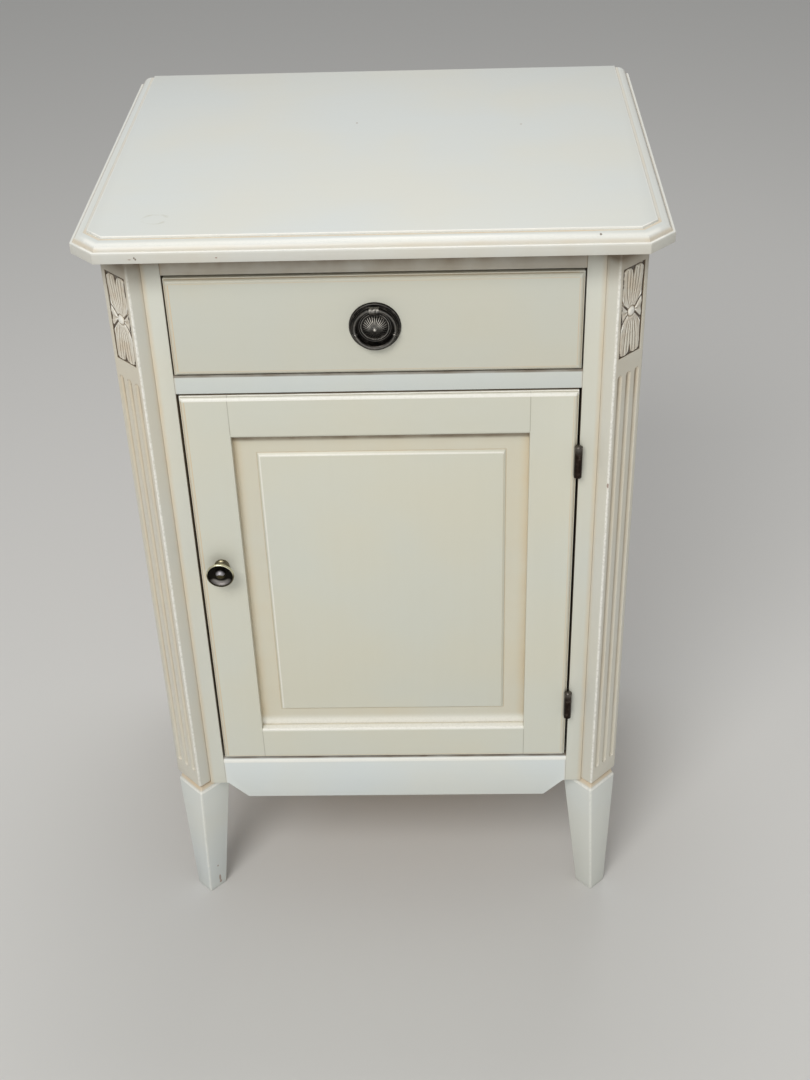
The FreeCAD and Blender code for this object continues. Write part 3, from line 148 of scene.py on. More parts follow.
class Finish:
    """A material, with the nodes and the masks that its colour, gloss and relief are made from."""

    def __init__(self, name, constants=None):
        self.material = bpy.data.materials.new(name)
        self.material.use_nodes = True
        self.tree = self.material.node_tree
        self.shader = self.tree.nodes["Principled BSDF"]
        for socket, value in (constants or {}).items():
            self.shader.inputs[socket].default_value = value
        self.place = self.node("ShaderNodeTexCoord", output="Object")
        self.x, self.y, self.z = (self.node("ShaderNodeSeparateXYZ", {}, {0: self.place}, axis) / MM
                                  for axis in "XYZ")

    def node(self, kind, settings=None, inputs=None, output=0):
        """Add a node: its settings first, then a value or a link for each input; wrap one output."""
        made = self.tree.nodes.new(kind)
        for name, value in (settings or {}).items():
            setattr(made, name, value)
        for key, value in (inputs or {}).items():
            if isinstance(value, Wire):
                self.tree.links.new(value.socket, made.inputs[key])
            else:
                made.inputs[key].default_value = value
        return Wire(self, made.outputs[output])

    def math(self, operation, *values):
        return self.node("ShaderNodeMath", {"operation": operation}, dict(enumerate(values)))

    def smallest(self, first, *others):
        for other in others:
            first = self.math("MINIMUM", first, other)
        return first

    def largest(self, first, *others):
        for other in others:
            first = self.math("MAXIMUM", first, other)
        return first

    def fade(self, value, start, end):
        """Smooth rise from 0 where the value is at the start to 1 at the end."""
        limits = {"Value": value, "From Min": start, "From Max": end}
        return self.node("ShaderNodeMapRange", {"interpolation_type": "SMOOTHSTEP"}, limits)

    def fall(self, value, start, end):
        """Smooth fall from 1 where the value is at the start to 0 at the end."""
        return 1 - self.fade(value, start, end)

    def line(self, value, at, width):
        """1 where the value is at a level, fading to 0 a width away from it."""
        return self.fall(abs(value - at), 0.0, width)

    def mix(self, factor, first, second):
        """Blend of two colours."""
        inputs = {0: factor, 6: first, 7: second}
        return self.node("ShaderNodeMix", {"data_type": "RGBA"}, inputs, 2)

    def noise(self, scale, detail=2.0, stretch=(1.0, 1.0, 1.0), distortion=0.0):
        """Soft random value, which a stretch under 1 draws out along an axis."""
        place = self.node("ShaderNodeVectorMath", {"operation": "MULTIPLY"}, {0: self.place, 1: stretch})
        inputs = {"Vector": place, "Scale": scale, "Detail": detail, "Distortion": distortion}
        return self.node("ShaderNodeTexNoise", {}, inputs)

    def reach(self, centre, radii):
        """Distance from a point, as a share of three radii; centre and radii are in metres."""
        away = self.node("ShaderNodeVectorMath", {"operation": "SUBTRACT"}, {0: self.place, 1: centre})
        away = self.node("ShaderNodeVectorMath", {"operation": "DIVIDE"}, {0: away, 1: radii})
        return self.node("ShaderNodeVectorMath", {"operation": "LENGTH"}, {0: away}, "Value")

    def spot(self, centre, radii, raggedness=0.35, scale=900.0):
        """Mask of a ragged spot about a point."""
        return self.fall(self.reach(centre, radii) + raggedness * (self.noise(scale) - 0.5), 0.75, 1.0)

    def attribute(self, name):
        """Value stored on the mesh's points."""
        return self.node("ShaderNodeAttribute", {"attribute_name": name}, {}, "Fac")

    def dress(self, colour, roughness, height, depth):
        """Link what varies to the shader, with relief as a bump of a given depth in millimetres."""
        relief = {"Strength": 1.0, "Distance": depth * MM, "Height": height}
        bump = self.node("ShaderNodeBump", {}, relief)
        for socket, wire in (("Base Color", colour), ("Roughness", roughness), ("Normal", bump)):
            self.tree.links.new(wire.socket, self.shader.inputs[socket])
        return self.material


print("finish helpers", [name for name in vars(Finish) if not name.startswith("_")])

# %% [markdown]
# ## The floor and the surrounding
# The cabinet stands on a plain pale floor under an even, pale surrounding, which lightens the shadows. The
# floor is one large face, so that its far edge lies out of the picture.

# %% Floor and surrounding
FLOOR_COLOUR = srgb(214, 213, 210)
FLOOR_REACH = 12.0
FLOOR_CORNERS = ((-1, -1), (1, -1), (1, 1), (-1, 1))
SURROUND_COLOUR = srgb(240, 241, 242)
SURROUND_STRENGTH = 0.4

floor_mesh = bpy.data.meshes.new("floor")
floor_mesh.from_pydata([(x * FLOOR_REACH, y * FLOOR_REACH, 0) for x, y in FLOOR_CORNERS], [], [(0, 1, 2, 3)])
floor = bpy.data.objects.new("floor", floor_mesh)
bpy.context.collection.objects.link(floor)
floor_finish = Finish("floor", {"Roughness": 0.9, "Specular IOR Level": 0.1, "Base Color": FLOOR_COLOUR})
floor.data.materials.append(floor_finish.material)

world = bpy.data.worlds.new("surrounding")
bpy.context.scene.world = world
world.use_nodes = True
backdrop = world.node_tree.nodes["Background"]
backdrop.inputs["Color"].default_value = SURROUND_COLOUR
backdrop.inputs["Strength"].default_value = SURROUND_STRENGTH
print("floor", 2 * FLOOR_REACH, "m wide, surrounding at", SURROUND_STRENGTH)

# %% [markdown]
# ## The lamps
# Three soft lamps light the cabinet: a wide one high in front on the left, which models the shapes, a weak
# one low in front, which opens the shadows under the overhangs, and a small one above the back of the top,
# which gives the top its sheen. Small strong lamps would throw hard shadows and sharp sparks; large ones
# give the broad highlights that satin paint has.

# %% Lamps
AIM_POINT = Vector((0, 0, 0.45))
# Name, place, width, power and tint
LAMPS = (
    ("key_lamp", (-0.75, -2.3, 2.85), 1.5, 55.8, (1.0, 0.985, 0.96)),
    ("ceiling_lamp", (0.1, 0.55, 2.3), 0.8, 11.5, (1.0, 0.99, 0.985)),
    ("fill_lamp", (0.2, -2.6, 0.4), 1.8, 12.6, (0.96, 0.985, 1.0)),
)

for name, place, size, power, tint in LAMPS:
    lamp = bpy.data.objects.new(name, bpy.data.lights.new(name, "AREA"))
    lamp.data.shape = "DISK"
    lamp.data.size = size
    lamp.data.energy = power
    lamp.data.color = tint
    towards = AIM_POINT - Vector(place)
    lamp.matrix_world = Matrix.Translation(place) @ towards.to_track_quat("-Z", "Y").to_matrix().to_4x4()
    bpy.context.collection.objects.link(lamp)
    print(name, power, "W")

# %% [markdown]
# ## Cream paint
# The real finish is a sprayed satin cream. It is not one flat colour: it drifts a little between a warm
# and a cool cream over a hand's width, faint strokes run along each board, and the surface has a fine
# orange peel. Three noises of different sizes give these. On top of them lie the tan and brown glaze, with
# painted shade carried in the brown, pale edges that are partly rubbed and partly painted highlights, and
# knocks; each comes from a formula that is passed in, because its places follow from the shape of the board.

# %% Paint
GLAZE_TAN = srgb(214, 184, 138)
GLAZE_AND_SHADE_BROWN = srgb(106, 88, 66)
RUBBED_AND_LIT_CREAM = srgb(247, 245, 237)
STAIN_GREY = srgb(184, 182, 164)
PAINT_SHINE = 0.35
PAINT_ROUGHNESS = 0.33
PAINT_RELIEF = 0.03
COOL_GAINS = (0.99, 1.0, 1.01)
WARM_GAINS = (1.005, 0.998, 0.98)
STROKE_GAINS = (0.97, 0.96, 0.94)
STROKE_STRETCH = {"X": (0.03, 1.0, 1.0), "Y": (1.0, 0.03, 1.0), "Z": (1.0, 1.0, 0.03)}
THICKEST_GLAZE = 0.9
CHIP_DEPTH = 3


def tinted(cream, gains):
    """Cream, given as three bytes, with each colour turned up or down a little."""
    return srgb(*(value * gain for value, gain in zip(cream, gains)))


def paint(name, along, cream, glaze=None, marks=(), pale_edges=None, speckle=0.15, stain=None):
    """Cream paint brushed along one axis, with glaze and painted shade from a formula, pale edges that are
    partly rubbing and partly painted highlight, and knocks.
    """
    f = Finish(name, {"Specular IOR Level": PAINT_SHINE})
    drift = f.noise(7.0, 3.0)
    strokes = f.noise(240.0, 1.0, STROKE_STRETCH[along])
    height = 0.3 * f.noise(1300.0, 1.0)
    colour = f.mix(f.fade(drift, 0.3, 0.7), tinted(cream, COOL_GAINS), tinted(cream, WARM_GAINS))
    colour = f.mix(0.14 * strokes, colour, tinted(cream, STROKE_GAINS))
    roughness = PAINT_ROUGHNESS + 0.06 * (drift - 0.5)
    if glaze is not None:
        patchy = 0.75 + 1.0 * (f.noise(45.0, 3.0) - 0.35)
        # The deep brown from each formula holds glaze and also painted shade in gaps, corners and under
        # overhangs.
        wash, deep = glaze(f)
        colour = f.mix(f.smallest(wash * patchy, THICKEST_GLAZE), colour, GLAZE_TAN)
        colour = f.mix(f.smallest(deep * patchy, THICKEST_GLAZE), colour, GLAZE_AND_SHADE_BROWN)
        roughness = roughness + 0.1 * deep
    if pale_edges is not None:
        # Painted highlight: the pale edges stand for rubbing and for light caught on edges that face the
        # lamps.
        broken = 1 - speckle * f.fall(f.noise(520.0, 2.0), 0.32, 0.6)
        colour = f.mix(0.8 * pale_edges(f) * broken, colour, RUBBED_AND_LIT_CREAM)
    for centre, radii, tint in marks:
        chip = f.spot(centre, radii)
        colour = f.mix(0.85 * chip, colour, tint)
        height = height - CHIP_DEPTH * chip
    if stain is not None:
        colour = f.mix(stain(f), colour, STAIN_GREY)
    return f.dress(colour, roughness, height, PAINT_RELIEF)


print("paint roughness", PAINT_ROUGHNESS)

# %% [markdown]
# ## Where the boards lie
# The glaze could be painted as a picture on each board, but it stays wherever the wiping cloth can't reach,
# and those places follow from the shapes. So each board gets a formula: how far a point lies inside an
# outline, or how deep it lies in a groove. The formulas need the places of the boards, which are measured
# on the packed model, in millimetres: X to the right, Y to the back and Z up.

# %% Measure the boards


def span(*names):
    """Lowest and highest corner of some nodes together, in millimetres."""
    boxes = [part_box(name) for name in names]
    low = [min(box[0][axis] for box in boxes) / MM for axis in range(3)]
    high = [max(box[1][axis] for box in boxes) / MM for axis in range(3)]
    return Vector(low), Vector(high)


def inset(f, low, high):
    """How far a point lies inside an upright rectangle, seen from the front, in millimetres."""
    return f.smallest(high.x - f.x, f.x - low.x, f.z - low.z, high.z - f.z)


DRAWER = span("drawer_front")
DOOR = span("door_left_stile", "door_right_stile")
TOP = span("top_board")
STILE = span("right_frame_stile")
POST = span("right_front_post")
FOOT = span("right_front_foot")
APRON = span("apron")
RAIL = span("middle_rail")
CARVED = span("right_carved_panel")
SIGHT = (Vector((span("door_left_stile")[1].x, 0, span("door_bottom_rail")[1].z)),
         Vector((span("door_right_stile")[0].x, 0, span("door_top_rail")[0].z)))
FACE_Y = DRAWER[0].y
print("opening of the door's frame", [round(v, 1) for v in (*SIGHT[0], *SIGHT[1])])

# %% [markdown]
# ## Glaze on the moulded edges
# The drawer front and the door have a small ovolo worked round their edge, with a flat fillet outside it.
# Tan glaze stays in the quirk beside the fillet and where the ovolo meets the face, most on the left and
# least along the top. Painted shade lies on the upper edge behind the face, and darkens the gap there. A
# formula gives two masks, a tan wash and a deep brown that also carries painted shade. The number in front
# of a mask is the share of glaze that it leaves, where 1 would hide the paint.

# %% Moulded edges
EDGE_FILLET = 0.9
EDGE_MOULDING = 3.9
QUIRK_LINE = 0.5
FACE_LINE = 0.55
FACE_BLEND = 0.4
EDGE_BAND = EDGE_MOULDING + 0.3
BAND_BLEND = 0.6
GAP_SHADE_DEPTHS = (FACE_Y + 3.8, FACE_Y + 7.2)
GAP_SHADE_SKIN = (0.35, 0.1)
SOFT_EDGE = 0.6


def strip(f, front, back):
    """1 between two depths, with soft edges."""
    behind_front = f.fade(f.y, front - SOFT_EDGE, front + SOFT_EDGE)
    return behind_front * f.fall(f.y, back - SOFT_EDGE, back + SOFT_EDGE)


def shade_in_upper_gap(f, high):
    """Line of painted shade on the top of a drawer front or a door, just behind its face."""
    return strip(f, *GAP_SHADE_DEPTHS) * f.fade(f.z, *(high.z - skin for skin in GAP_SHADE_SKIN))


def moulded_edge_glaze_and_shade(f, low, high, clean_top, gap_shade):
    """Glaze along the moulding of a drawer front or a door, and painted shade in the gap above it."""
    d = inset(f, low, high)
    top = f.fade(f.z, high.z - EDGE_BAND - BAND_BLEND, high.z - EDGE_BAND)
    bottom = f.fall(f.z, low.z + EDGE_BAND, low.z + EDGE_BAND + BAND_BLEND)
    right = f.fade(f.x, high.x - EDGE_BAND - BAND_BLEND, high.x - EDGE_BAND)
    kept = f.largest(1 - clean_top * top - 0.5 * bottom - 0.4 * right, 0.1)
    quirk = f.line(d, EDGE_FILLET, QUIRK_LINE)
    lines = quirk + f.line(d, EDGE_MOULDING, FACE_LINE)
    moulding = f.fall(d, EDGE_MOULDING - FACE_BLEND, EDGE_MOULDING + FACE_BLEND)
    # The deep brown holds glaze in the quirk and painted shade in the gap above the edge.
    deep = (0.14 + 0.24 * kept) * quirk + gap_shade * shade_in_upper_gap(f, high)
    return kept * (0.2 * moulding + 0.7 * lines), deep


def drawer_glaze_and_shade(f):
    return moulded_edge_glaze_and_shade(f, *DRAWER, clean_top=0.5, gap_shade=0.45)


print("drawer front", [round(v, 1) for v in DRAWER[1] - DRAWER[0]], "mm")

# %% [markdown]
# ## Glaze on the frame of the door
# The inner edges of the door's frame are a little yellower than its face, and thin lines show where rails
# meet stiles. The upper moulding and the ledge over the bottom rail face up, so they carry a painted
# highlight, nearly white. Paint that follows the joints could be laid piece by piece; one formula for the
# whole door keeps stiles and rails in step.

# %% Frame of the door
SUNK_START = (FACE_Y + 2.6, FACE_Y + 8.0)
SUNK_END = (FACE_Y + 9.0, FACE_Y + 12.0)
JOINT_LINE = 0.6
BY_LOW_RAIL = (SIGHT[0].z - 3, SIGHT[0].z - 2)
BY_HIGH_RAIL = (SIGHT[1].z + 2, SIGHT[1].z + 3)
DOOR_CROWN = (DOOR[1].z - EDGE_MOULDING - 0.3, DOOR[1].z - EDGE_MOULDING + 0.5)
LEDGE_WIDTH = 3.2
LEDGE_ENDS = (SIGHT[1].x - 1, SIGHT[1].x)
LEDGE_DEPTHS = (FACE_Y + 4.5, FACE_Y + 8.5)


def door_glaze_and_shade(f):
    wash, deep = moulded_edge_glaze_and_shade(f, *DOOR, clean_top=0.9, gap_shade=1.0)
    sunk = f.fade(f.y, *SUNK_START) * f.fall(f.y, *SUNK_END)
    beside_rail = f.largest(f.fall(f.z, *BY_LOW_RAIL), f.fade(f.z, *BY_HIGH_RAIL))
    joint = beside_rail * f.line(abs(f.x), SIGHT[1].x, JOINT_LINE)
    return f.largest(wash, 0.32 * sunk), deep + 0.4 * joint


def door_highlight(f):
    """Painted highlight on the top moulding of the door, and on the ledge above its bottom rail."""
    quirk = f.line(inset(f, *DOOR), EDGE_FILLET, QUIRK_LINE)
    top = f.fade(f.z, *DOOR_CROWN) * (1 - quirk) * (1 - shade_in_upper_gap(f, DOOR[1]))
    # Painted highlight on the ledge, which faces up towards the lamps.
    ledge = f.line(f.z, SIGHT[0].z, LEDGE_WIDTH) * f.fall(abs(f.x), *LEDGE_ENDS)
    return f.largest(top, 1.2 * (ledge * f.fall(f.y, *LEDGE_DEPTHS)))


print("door", [round(v, 1) for v in DOOR[1] - DOOR[0]], "mm")

# %% [markdown]
# ## Glaze on the raised panel
# The panel has a raised field with a narrow bevel round it, and a flat margin that slips into the frame.
# The margin is warmest in the corner against the frame, a dark line lies at the foot of the bevel, painted
# shade lies under the top rail, and the bevel's top and left carry a painted highlight. All of these are
# distances from the opening of the frame. The lowest part has less glaze and is painted paler, as light
# thrown up from the ledge.

# %% Raised panel
PANEL_MARGIN = 18.5
PANEL_BEVEL = 2.2
MARGIN_BLEND = 0.4
CORNER_WIDTH = 9.0
BEVEL_TAN_LINE = 0.9
BEVEL_DARK_LINE = 0.55
ARRIS_LINE = 0.8
ARRIS_SHINE = 1.2
SHADE_UNDER_RAIL = (5.5, 8.5)
LIT_ABOVE_LEDGE = (3.0, 12.0)
BEVEL_TURN = PANEL_MARGIN + PANEL_BEVEL + 1.3
TURN_BLEND = 1


def lit_above_ledge(f):
    """Lowest part of the panel, painted paler as light thrown up from the ledge."""
    return f.fall(f.z - SIGHT[0].z, *LIT_ABOVE_LEDGE)


def panel_glaze_and_shade(f):
    d = inset(f, *SIGHT)
    margin = f.fall(d, PANEL_MARGIN - MARGIN_BLEND, PANEL_MARGIN + MARGIN_BLEND)
    corner = f.fall(d, 0.0, CORNER_WIDTH)
    foot = f.line(d, PANEL_MARGIN, BEVEL_TAN_LINE)
    arris = f.line(d, PANEL_MARGIN + PANEL_BEVEL, ARRIS_LINE)
    under_rail = f.fall(SIGHT[1].z - f.z, *SHADE_UNDER_RAIL)
    # Painted shadow: a dark band under the top rail, where its shadow falls on the panel.
    deep = 0.25 * f.line(d, PANEL_MARGIN, BEVEL_DARK_LINE) + 0.7 * under_rail
    # Less glaze near the ledge, where painted light is laid instead.
    outside_ledge_light = 1 - 0.8 * lit_above_ledge(f)
    return outside_ledge_light * (0.16 * margin + 0.26 * corner) + 0.3 * foot + 0.12 * arris, deep


def panel_highlight(f):
    """Painted highlight on the bevel along the top and the left of the raised field, and painted light above
    the ledge.
    """
    bevel = f.line(inset(f, *SIGHT), PANEL_MARGIN + PANEL_BEVEL, ARRIS_SHINE)
    turn_z = SIGHT[1].z - BEVEL_TURN
    turn_x = SIGHT[0].x + BEVEL_TURN
    top = f.fade(f.z, turn_z - TURN_BLEND, turn_z + TURN_BLEND)
    left = f.fall(f.x, turn_x - TURN_BLEND, turn_x + TURN_BLEND)
    return f.largest(bevel * f.largest(top, left), lit_above_ledge(f))


print("raised field", round(SIGHT[1].x - SIGHT[0].x - 2 * (PANEL_MARGIN + PANEL_BEVEL), 1), "mm wide")

# %% [markdown]
# ## Glaze on the top
# The edge of the top is a wide ovolo between two small steps, and its front corners are cut off. Tan stays
# in both steps, stronger at the corners and the sides, where painted shade joins it along the sides, and
# the edge face below is shaded with paint too. The arrises are pale, wear and painted highlight together,
# and the crown of the ovolo carries a painted highlight. The distance from the nearest of the sides, the
# front and the cuts tells which part of the moulding a point is on, so the same lines turn every corner by
# themselves.

# %% Top
TOP_CORNER_CUT = 20.0
TOP_QUIRK = 2.4
TOP_LISTEL = 10.4
TOP_FIELD = 12.9
ABOVE_EDGE_FACE = (TOP[1].z - 8.2, TOP[1].z - 7.2)
TOP_QUIRK_LINE = (TOP_QUIRK + 0.6, 2.0)
LISTEL_START = (TOP_LISTEL - 0.4, TOP_LISTEL + 0.3)
LISTEL_END = (TOP_FIELD - 0.5, TOP_FIELD)
LISTEL_LINE = 0.5
AT_CORNER = (0.0, 4.0)
AT_SIDE = (TOP_CORNER_CUT - 4.0, TOP_CORNER_CUT + 2.0)
OUTER_ARRIS = (1.1, 1.7)
OUTER_ARRIS_HEIGHTS = (TOP[1].z - 9.3, TOP[1].z - 8.1)
FIELD_ARRIS = (TOP_FIELD + 0.5, 1.1)
OVOLO_CROWN = ((TOP_QUIRK + TOP_LISTEL) / 2 - 0.8, 2.8)
DIMMER_EDGES_AT_SIDE = (0.0, 6.0)


def top_edges(f):
    """How far a point lies inside the sides, the front and the cut corners of the top."""
    side = TOP[1].x - abs(f.x)
    front = f.y - TOP[0].y
    return side, front, (side + front - TOP_CORNER_CUT) / math.sqrt(2)


def top_glaze_and_shade(f):
    """Tan in the two steps of the edge, stronger in the outer one at the corners and the sides, with painted
    shade in the outer step along the sides and on the edge face below.
    """
    side, front, corner = top_edges(f)
    d = f.smallest(side, front, corner)
    above = f.fade(f.z, *ABOVE_EDGE_FACE)
    quirk = f.line(d, *TOP_QUIRK_LINE)
    listel = f.fade(d, *LISTEL_START) * f.fall(d, *LISTEL_END)
    at_corner = f.fall(corner - f.smallest(side, front), *AT_CORNER)
    at_side = f.fade(front - side, *AT_SIDE)
    wash = (0.3 + 0.15 * at_corner + 0.12 * at_side) * quirk + (0.5 - 0.28 * at_side) * listel
    # Deep brown: glaze at the listel, and painted shade in the outer step along the sides.
    deep = (0.06 + 0.1 * at_side) * f.line(d, TOP_LISTEL, LISTEL_LINE) + 0.22 * at_side * quirk
    # Below the edge, the whole edge face gets a little tan and painted shade.
    return above * wash + 0.16 * (1 - above), above * deep + 0.06 * (1 - above)


def top_arris_and_highlight(f):
    """Pale arrises of the steps, wear and painted highlight together, and a painted highlight on the crown of
    the ovolo.
    """
    side, front, corner = top_edges(f)
    d = f.smallest(side, front, corner)
    arris = f.line(d, *OUTER_ARRIS) * f.fade(f.z, *OUTER_ARRIS_HEIGHTS)
    edges = f.largest(f.line(d, *FIELD_ARRIS), arris)
    # Painted highlight on the crown of the ovolo, weaker along the sides.
    crown = 0.75 * f.line(d, *OVOLO_CROWN)
    return f.largest(edges, crown) * (1 - 0.6 * f.fade(front - side, *DIMMER_EDGES_AT_SIDE))


print("top", [round(v, 1) for v in TOP[1] - TOP[0]], "mm")

# %% [markdown]
# ## Glaze and painted shade on the posts
# Each corner post is cut across at 45 degrees, and that canted face has three stopped flutes below the
# carved panel. Tan fills the flutes, darker near their heads, and lies in the corner by the stile and in
# the groove over the foot. Painted shade darkens the posts under the overhang of the top, and the front
# arris carries a painted highlight. Turning the coordinates by 45 degrees gives two plain distances,
# across the canted face and into it, so the flutes need no map either.

# %% Posts
POST_FACE = 34.3
CANT_X = (FOOT[0].x + FOOT[1].x) / 2
CANT_Y = POST[0].y
CANT_FRONT = (0.8, 1.8)
CANT_BACK = (POST_FACE - 1.8, POST_FACE - 0.8)
FLUTE_WASH = (0.3, 1.6)
FLUTE_BOTTOM = (1.5, 2.2)
RETURN_FACE = (0.4, 1.0)
RETURN_CORNER = (9.0, 12.5)
GROOVE = (FOOT[1].z + 2.6, FOOT[1].z + 3.6)
FLUTE_HEAD = CARVED[0].z - 15.0
NEAR_HEAD = (FLUTE_HEAD - 40.0, FLUTE_HEAD - 4.0)
NEAR_FOOT = (FOOT[1].z + 40.0, FOOT[1].z + 130.0)
WINDOW_LOW = (CARVED[0].z - 1.5, CARVED[0].z - 0.5)
WINDOW_DEPTH = (0.25, 0.8)
NEAR_OVERHANG_SHADE = (8.0, 20.0)
FAR_OVERHANG_SHADE = (8.0, 42.0)
POST_ARRIS = (0.8, 2.2)
ARRIS_LIT_BELOW_TOP = (6.0, 50.0)


def canted(f):
    """Distance across a canted face from its front edge, and depth into the post."""
    out = abs(f.x) - CANT_X
    back = f.y - CANT_Y
    return (out + back) / math.sqrt(2), (back - out) / math.sqrt(2)


def overhang_shade(f, near, far):
    """Painted shade under the overhang of the top: dense in the corner, with a long soft fade below it."""
    below = TOP[0].z - f.z
    return near * f.fall(below, *NEAR_OVERHANG_SHADE) + far * f.fall(below, *FAR_OVERHANG_SHADE)


def post_glaze_and_shade(f):
    """Tan in the flutes and their heads, in the corner by the stile and in the groove over the foot, and
    painted shade under the overhang of the top.
    """
    across, depth = canted(f)
    on_face = f.fade(across, *CANT_FRONT) * f.fall(across, *CANT_BACK)
    flutes = on_face * f.fade(depth, *FLUTE_WASH)
    corner = f.fall(across, *RETURN_FACE) * f.fade(depth, *RETURN_CORNER)
    head = f.fade(f.z, *NEAR_HEAD)
    lower = f.fall(f.z, *NEAR_FOOT)
    window = f.fade(f.z, *WINDOW_LOW) * f.fade(depth, *WINDOW_DEPTH)
    deep = (0.26 + 0.3 * head - 0.14 * lower) * on_face * f.fade(depth, *FLUTE_BOTTOM)
    # Painted shade under the overhang of the top joins the brown of the flutes.
    deep = f.largest(deep, on_face * window) + overhang_shade(f, 0.5, 0.62)
    wash = (0.08 + 0.1 * head) * on_face + (0.2 - 0.12 * lower) * flutes
    return wash + 0.22 * corner + 0.6 * f.fall(f.z, *GROOVE), deep


def post_arris_and_highlight(f):
    """Pale front arris of the post, wear and painted highlight together, left out under the overhang of the
    top, where shade lies.
    """
    across, depth = canted(f)
    # Painted highlight on the arris, faded out in the shade under the top.
    return f.fall(across + depth, *POST_ARRIS) * f.fade(TOP[0].z - f.z, *ARRIS_LIT_BELOW_TOP)


print("front edge of the right cant at", round(CANT_X, 1), round(CANT_Y, 1))

# %% [markdown]
# ## Glaze on the feet
# The front feet taper to a small square and begin with a bevel under the groove. Tan stays in the groove,
# the lower half of the bevel carries a painted highlight, and the front arris is pale, wear and painted
# highlight together. The arris leans, so the formula follows the straight line from the head of the foot
# to its tip.

# %% Feet
FOOT_TIP_X = 190.65
FOOT_TIP_Y = -150.39
FOOT_SHOULDER = FOOT[1].z - 7.2
FOOT_GROOVE = (FOOT[1].z - 6.0, FOOT[1].z - 2.5)
FOOT_DIRT = (1.0, 7.0)
FOOT_ARRIS = (1.0, 4.0)
BEVEL_START = (FOOT_SHOULDER - 0.8, FOOT_SHOULDER + 0.4)
BEVEL_END = (FOOT_SHOULDER + 1.2, FOOT_SHOULDER + 3.0)


def foot_glaze(f):
    """Tan in the groove at the head of the foot, and a little dirt at its tip."""
    return 0.65 * f.fade(f.z, *FOOT_GROOVE), 0.12 * f.fall(f.z, *FOOT_DIRT)


def foot_arris_and_highlight(f):
    """Pale front arris of the foot, wear and painted highlight together, and a painted highlight on the lower
    half of the bevel at its head.
    """
    down = (FOOT_SHOULDER - f.z) / FOOT_SHOULDER
    off_x = abs(abs(f.x) - CANT_X - (FOOT_TIP_X - CANT_X) * down)
    off_y = abs(f.y - CANT_Y - (FOOT_TIP_Y - CANT_Y) * down)
    # Painted highlight on the lower half of the bevel, which faces up.
    bevel = f.fade(f.z, *BEVEL_START) * f.fall(f.z, *BEVEL_END)
    return f.largest(0.6 * f.fall(off_x + off_y, *FOOT_ARRIS), bevel)


print("feet", round(FOOT[1].z, 1), "mm high")

# %% [markdown]
# ## Glaze and painted shade on the face frame
# Stiles, rails and apron frame the drawer and the door. Tan lies where they meet each other and the posts.
# Painted shade lies in the gaps round the drawer and the door, along the rail under the drawer, along the
# apron under the door and under the overhang of the top, and the rounded top of the apron carries a painted
# highlight. Dark gaps could be left to the shadows, but a deep gap of two millimetres still catches light,
# so thin strips of painted shade just behind the face help it. They stay narrow, because they show when the
# drawer or the door is open.

# %% Face frame
STILE_CORNER = (STILE[1].x - 4.6, STILE[1].x - 0.5)
STILE_INNER = (STILE[0].x + 0.1, STILE[0].x + 0.6)
STILE_GAP = (STILE[0].y + 1.0, STILE[0].y + 12.0)
STILE_LINE = 0.5
WEAKER_GAP_SHADE_LOW = (APRON[1].z, APRON[1].z + 140)
BESIDE_DRAWER = (DRAWER[0].z - 3, DRAWER[0].z)
TO_THE_RIGHT = (0.0, 1.0)
END_LINE = 0.6
END_WASH = 2.0
OVER_DRAWER = (DRAWER[1].z, DRAWER[1].z + 3)
UNDER_DRAWER = (RAIL[1].z - 2.4, RAIL[1].z - 1.2)
RAIL_ABOVE = (RAIL[1].z, DRAWER[1].z)
RAIL_BEHIND = (RAIL[0].y + 4, RAIL[0].y + 6)
UNDER_DOOR = (APRON[1].z - 2.4, APRON[1].z - 1.4)
APRON_BEHIND = (APRON[0].y + 6, APRON[0].y + 8)
APRON_CROWN_LOW = (APRON[1].z - 7.0, APRON[1].z - 5.0)
APRON_CROWN_HIGH = (APRON[1].z - 3.0, APRON[1].z - 2.0)


def stile_glaze_and_shade(f):
    """Tan in the corner by the post, and painted shade in the gap beside the drawer and the door."""
    outer = f.fade(abs(f.x), *STILE_CORNER)
    inner = f.fall(abs(f.x), *STILE_INNER)
    low = f.fall(f.z, *WEAKER_GAP_SHADE_LOW)
    right_of_drawer = f.fade(f.x, *TO_THE_RIGHT) * f.fade(f.z, *BESIDE_DRAWER)
    # Painted shade in the gap, weaker near the bottom and to the right of the drawer.
    gap = inner * strip(f, *STILE_GAP) * (1 - 0.5 * low - 0.65 * right_of_drawer)
    edge = 0.2 * f.line(abs(f.x), STILE[0].x, STILE_LINE)
    # Painted shade under the overhang of the top is added to the deep brown.
    return 0.36 * outer, edge + gap + overhang_shade(f, 0.5, 0.42)


def rail_ends(f):
    """Wash and dark line where a rail or the apron meets the stiles."""
    off_end = abs(f.x)
    return 0.2 * f.line(off_end, STILE[0].x, END_WASH), 0.35 * f.line(off_end, STILE[0].x, END_LINE)


def rail_glaze_and_shade(f):
    """Glaze at the ends of a rail, and painted shade under the drawer and under the overhang of the top."""
    end_wash, end_line = rail_ends(f)
    # Painted shadow along the top of the rail, under the proud drawer.
    shade_under_drawer = f.fade(f.z, *UNDER_DRAWER) * f.fall(f.z, *RAIL_ABOVE) * f.fall(f.y, *RAIL_BEHIND)
    # Painted shade on the rail under the overhang of the top.
    rail_top_shade = f.fade(f.z, *OVER_DRAWER)
    return end_wash + 0.3 * rail_top_shade, end_line + 0.3 * rail_top_shade + 0.75 * shade_under_drawer + overhang_shade(f, 0.58, 0.18)


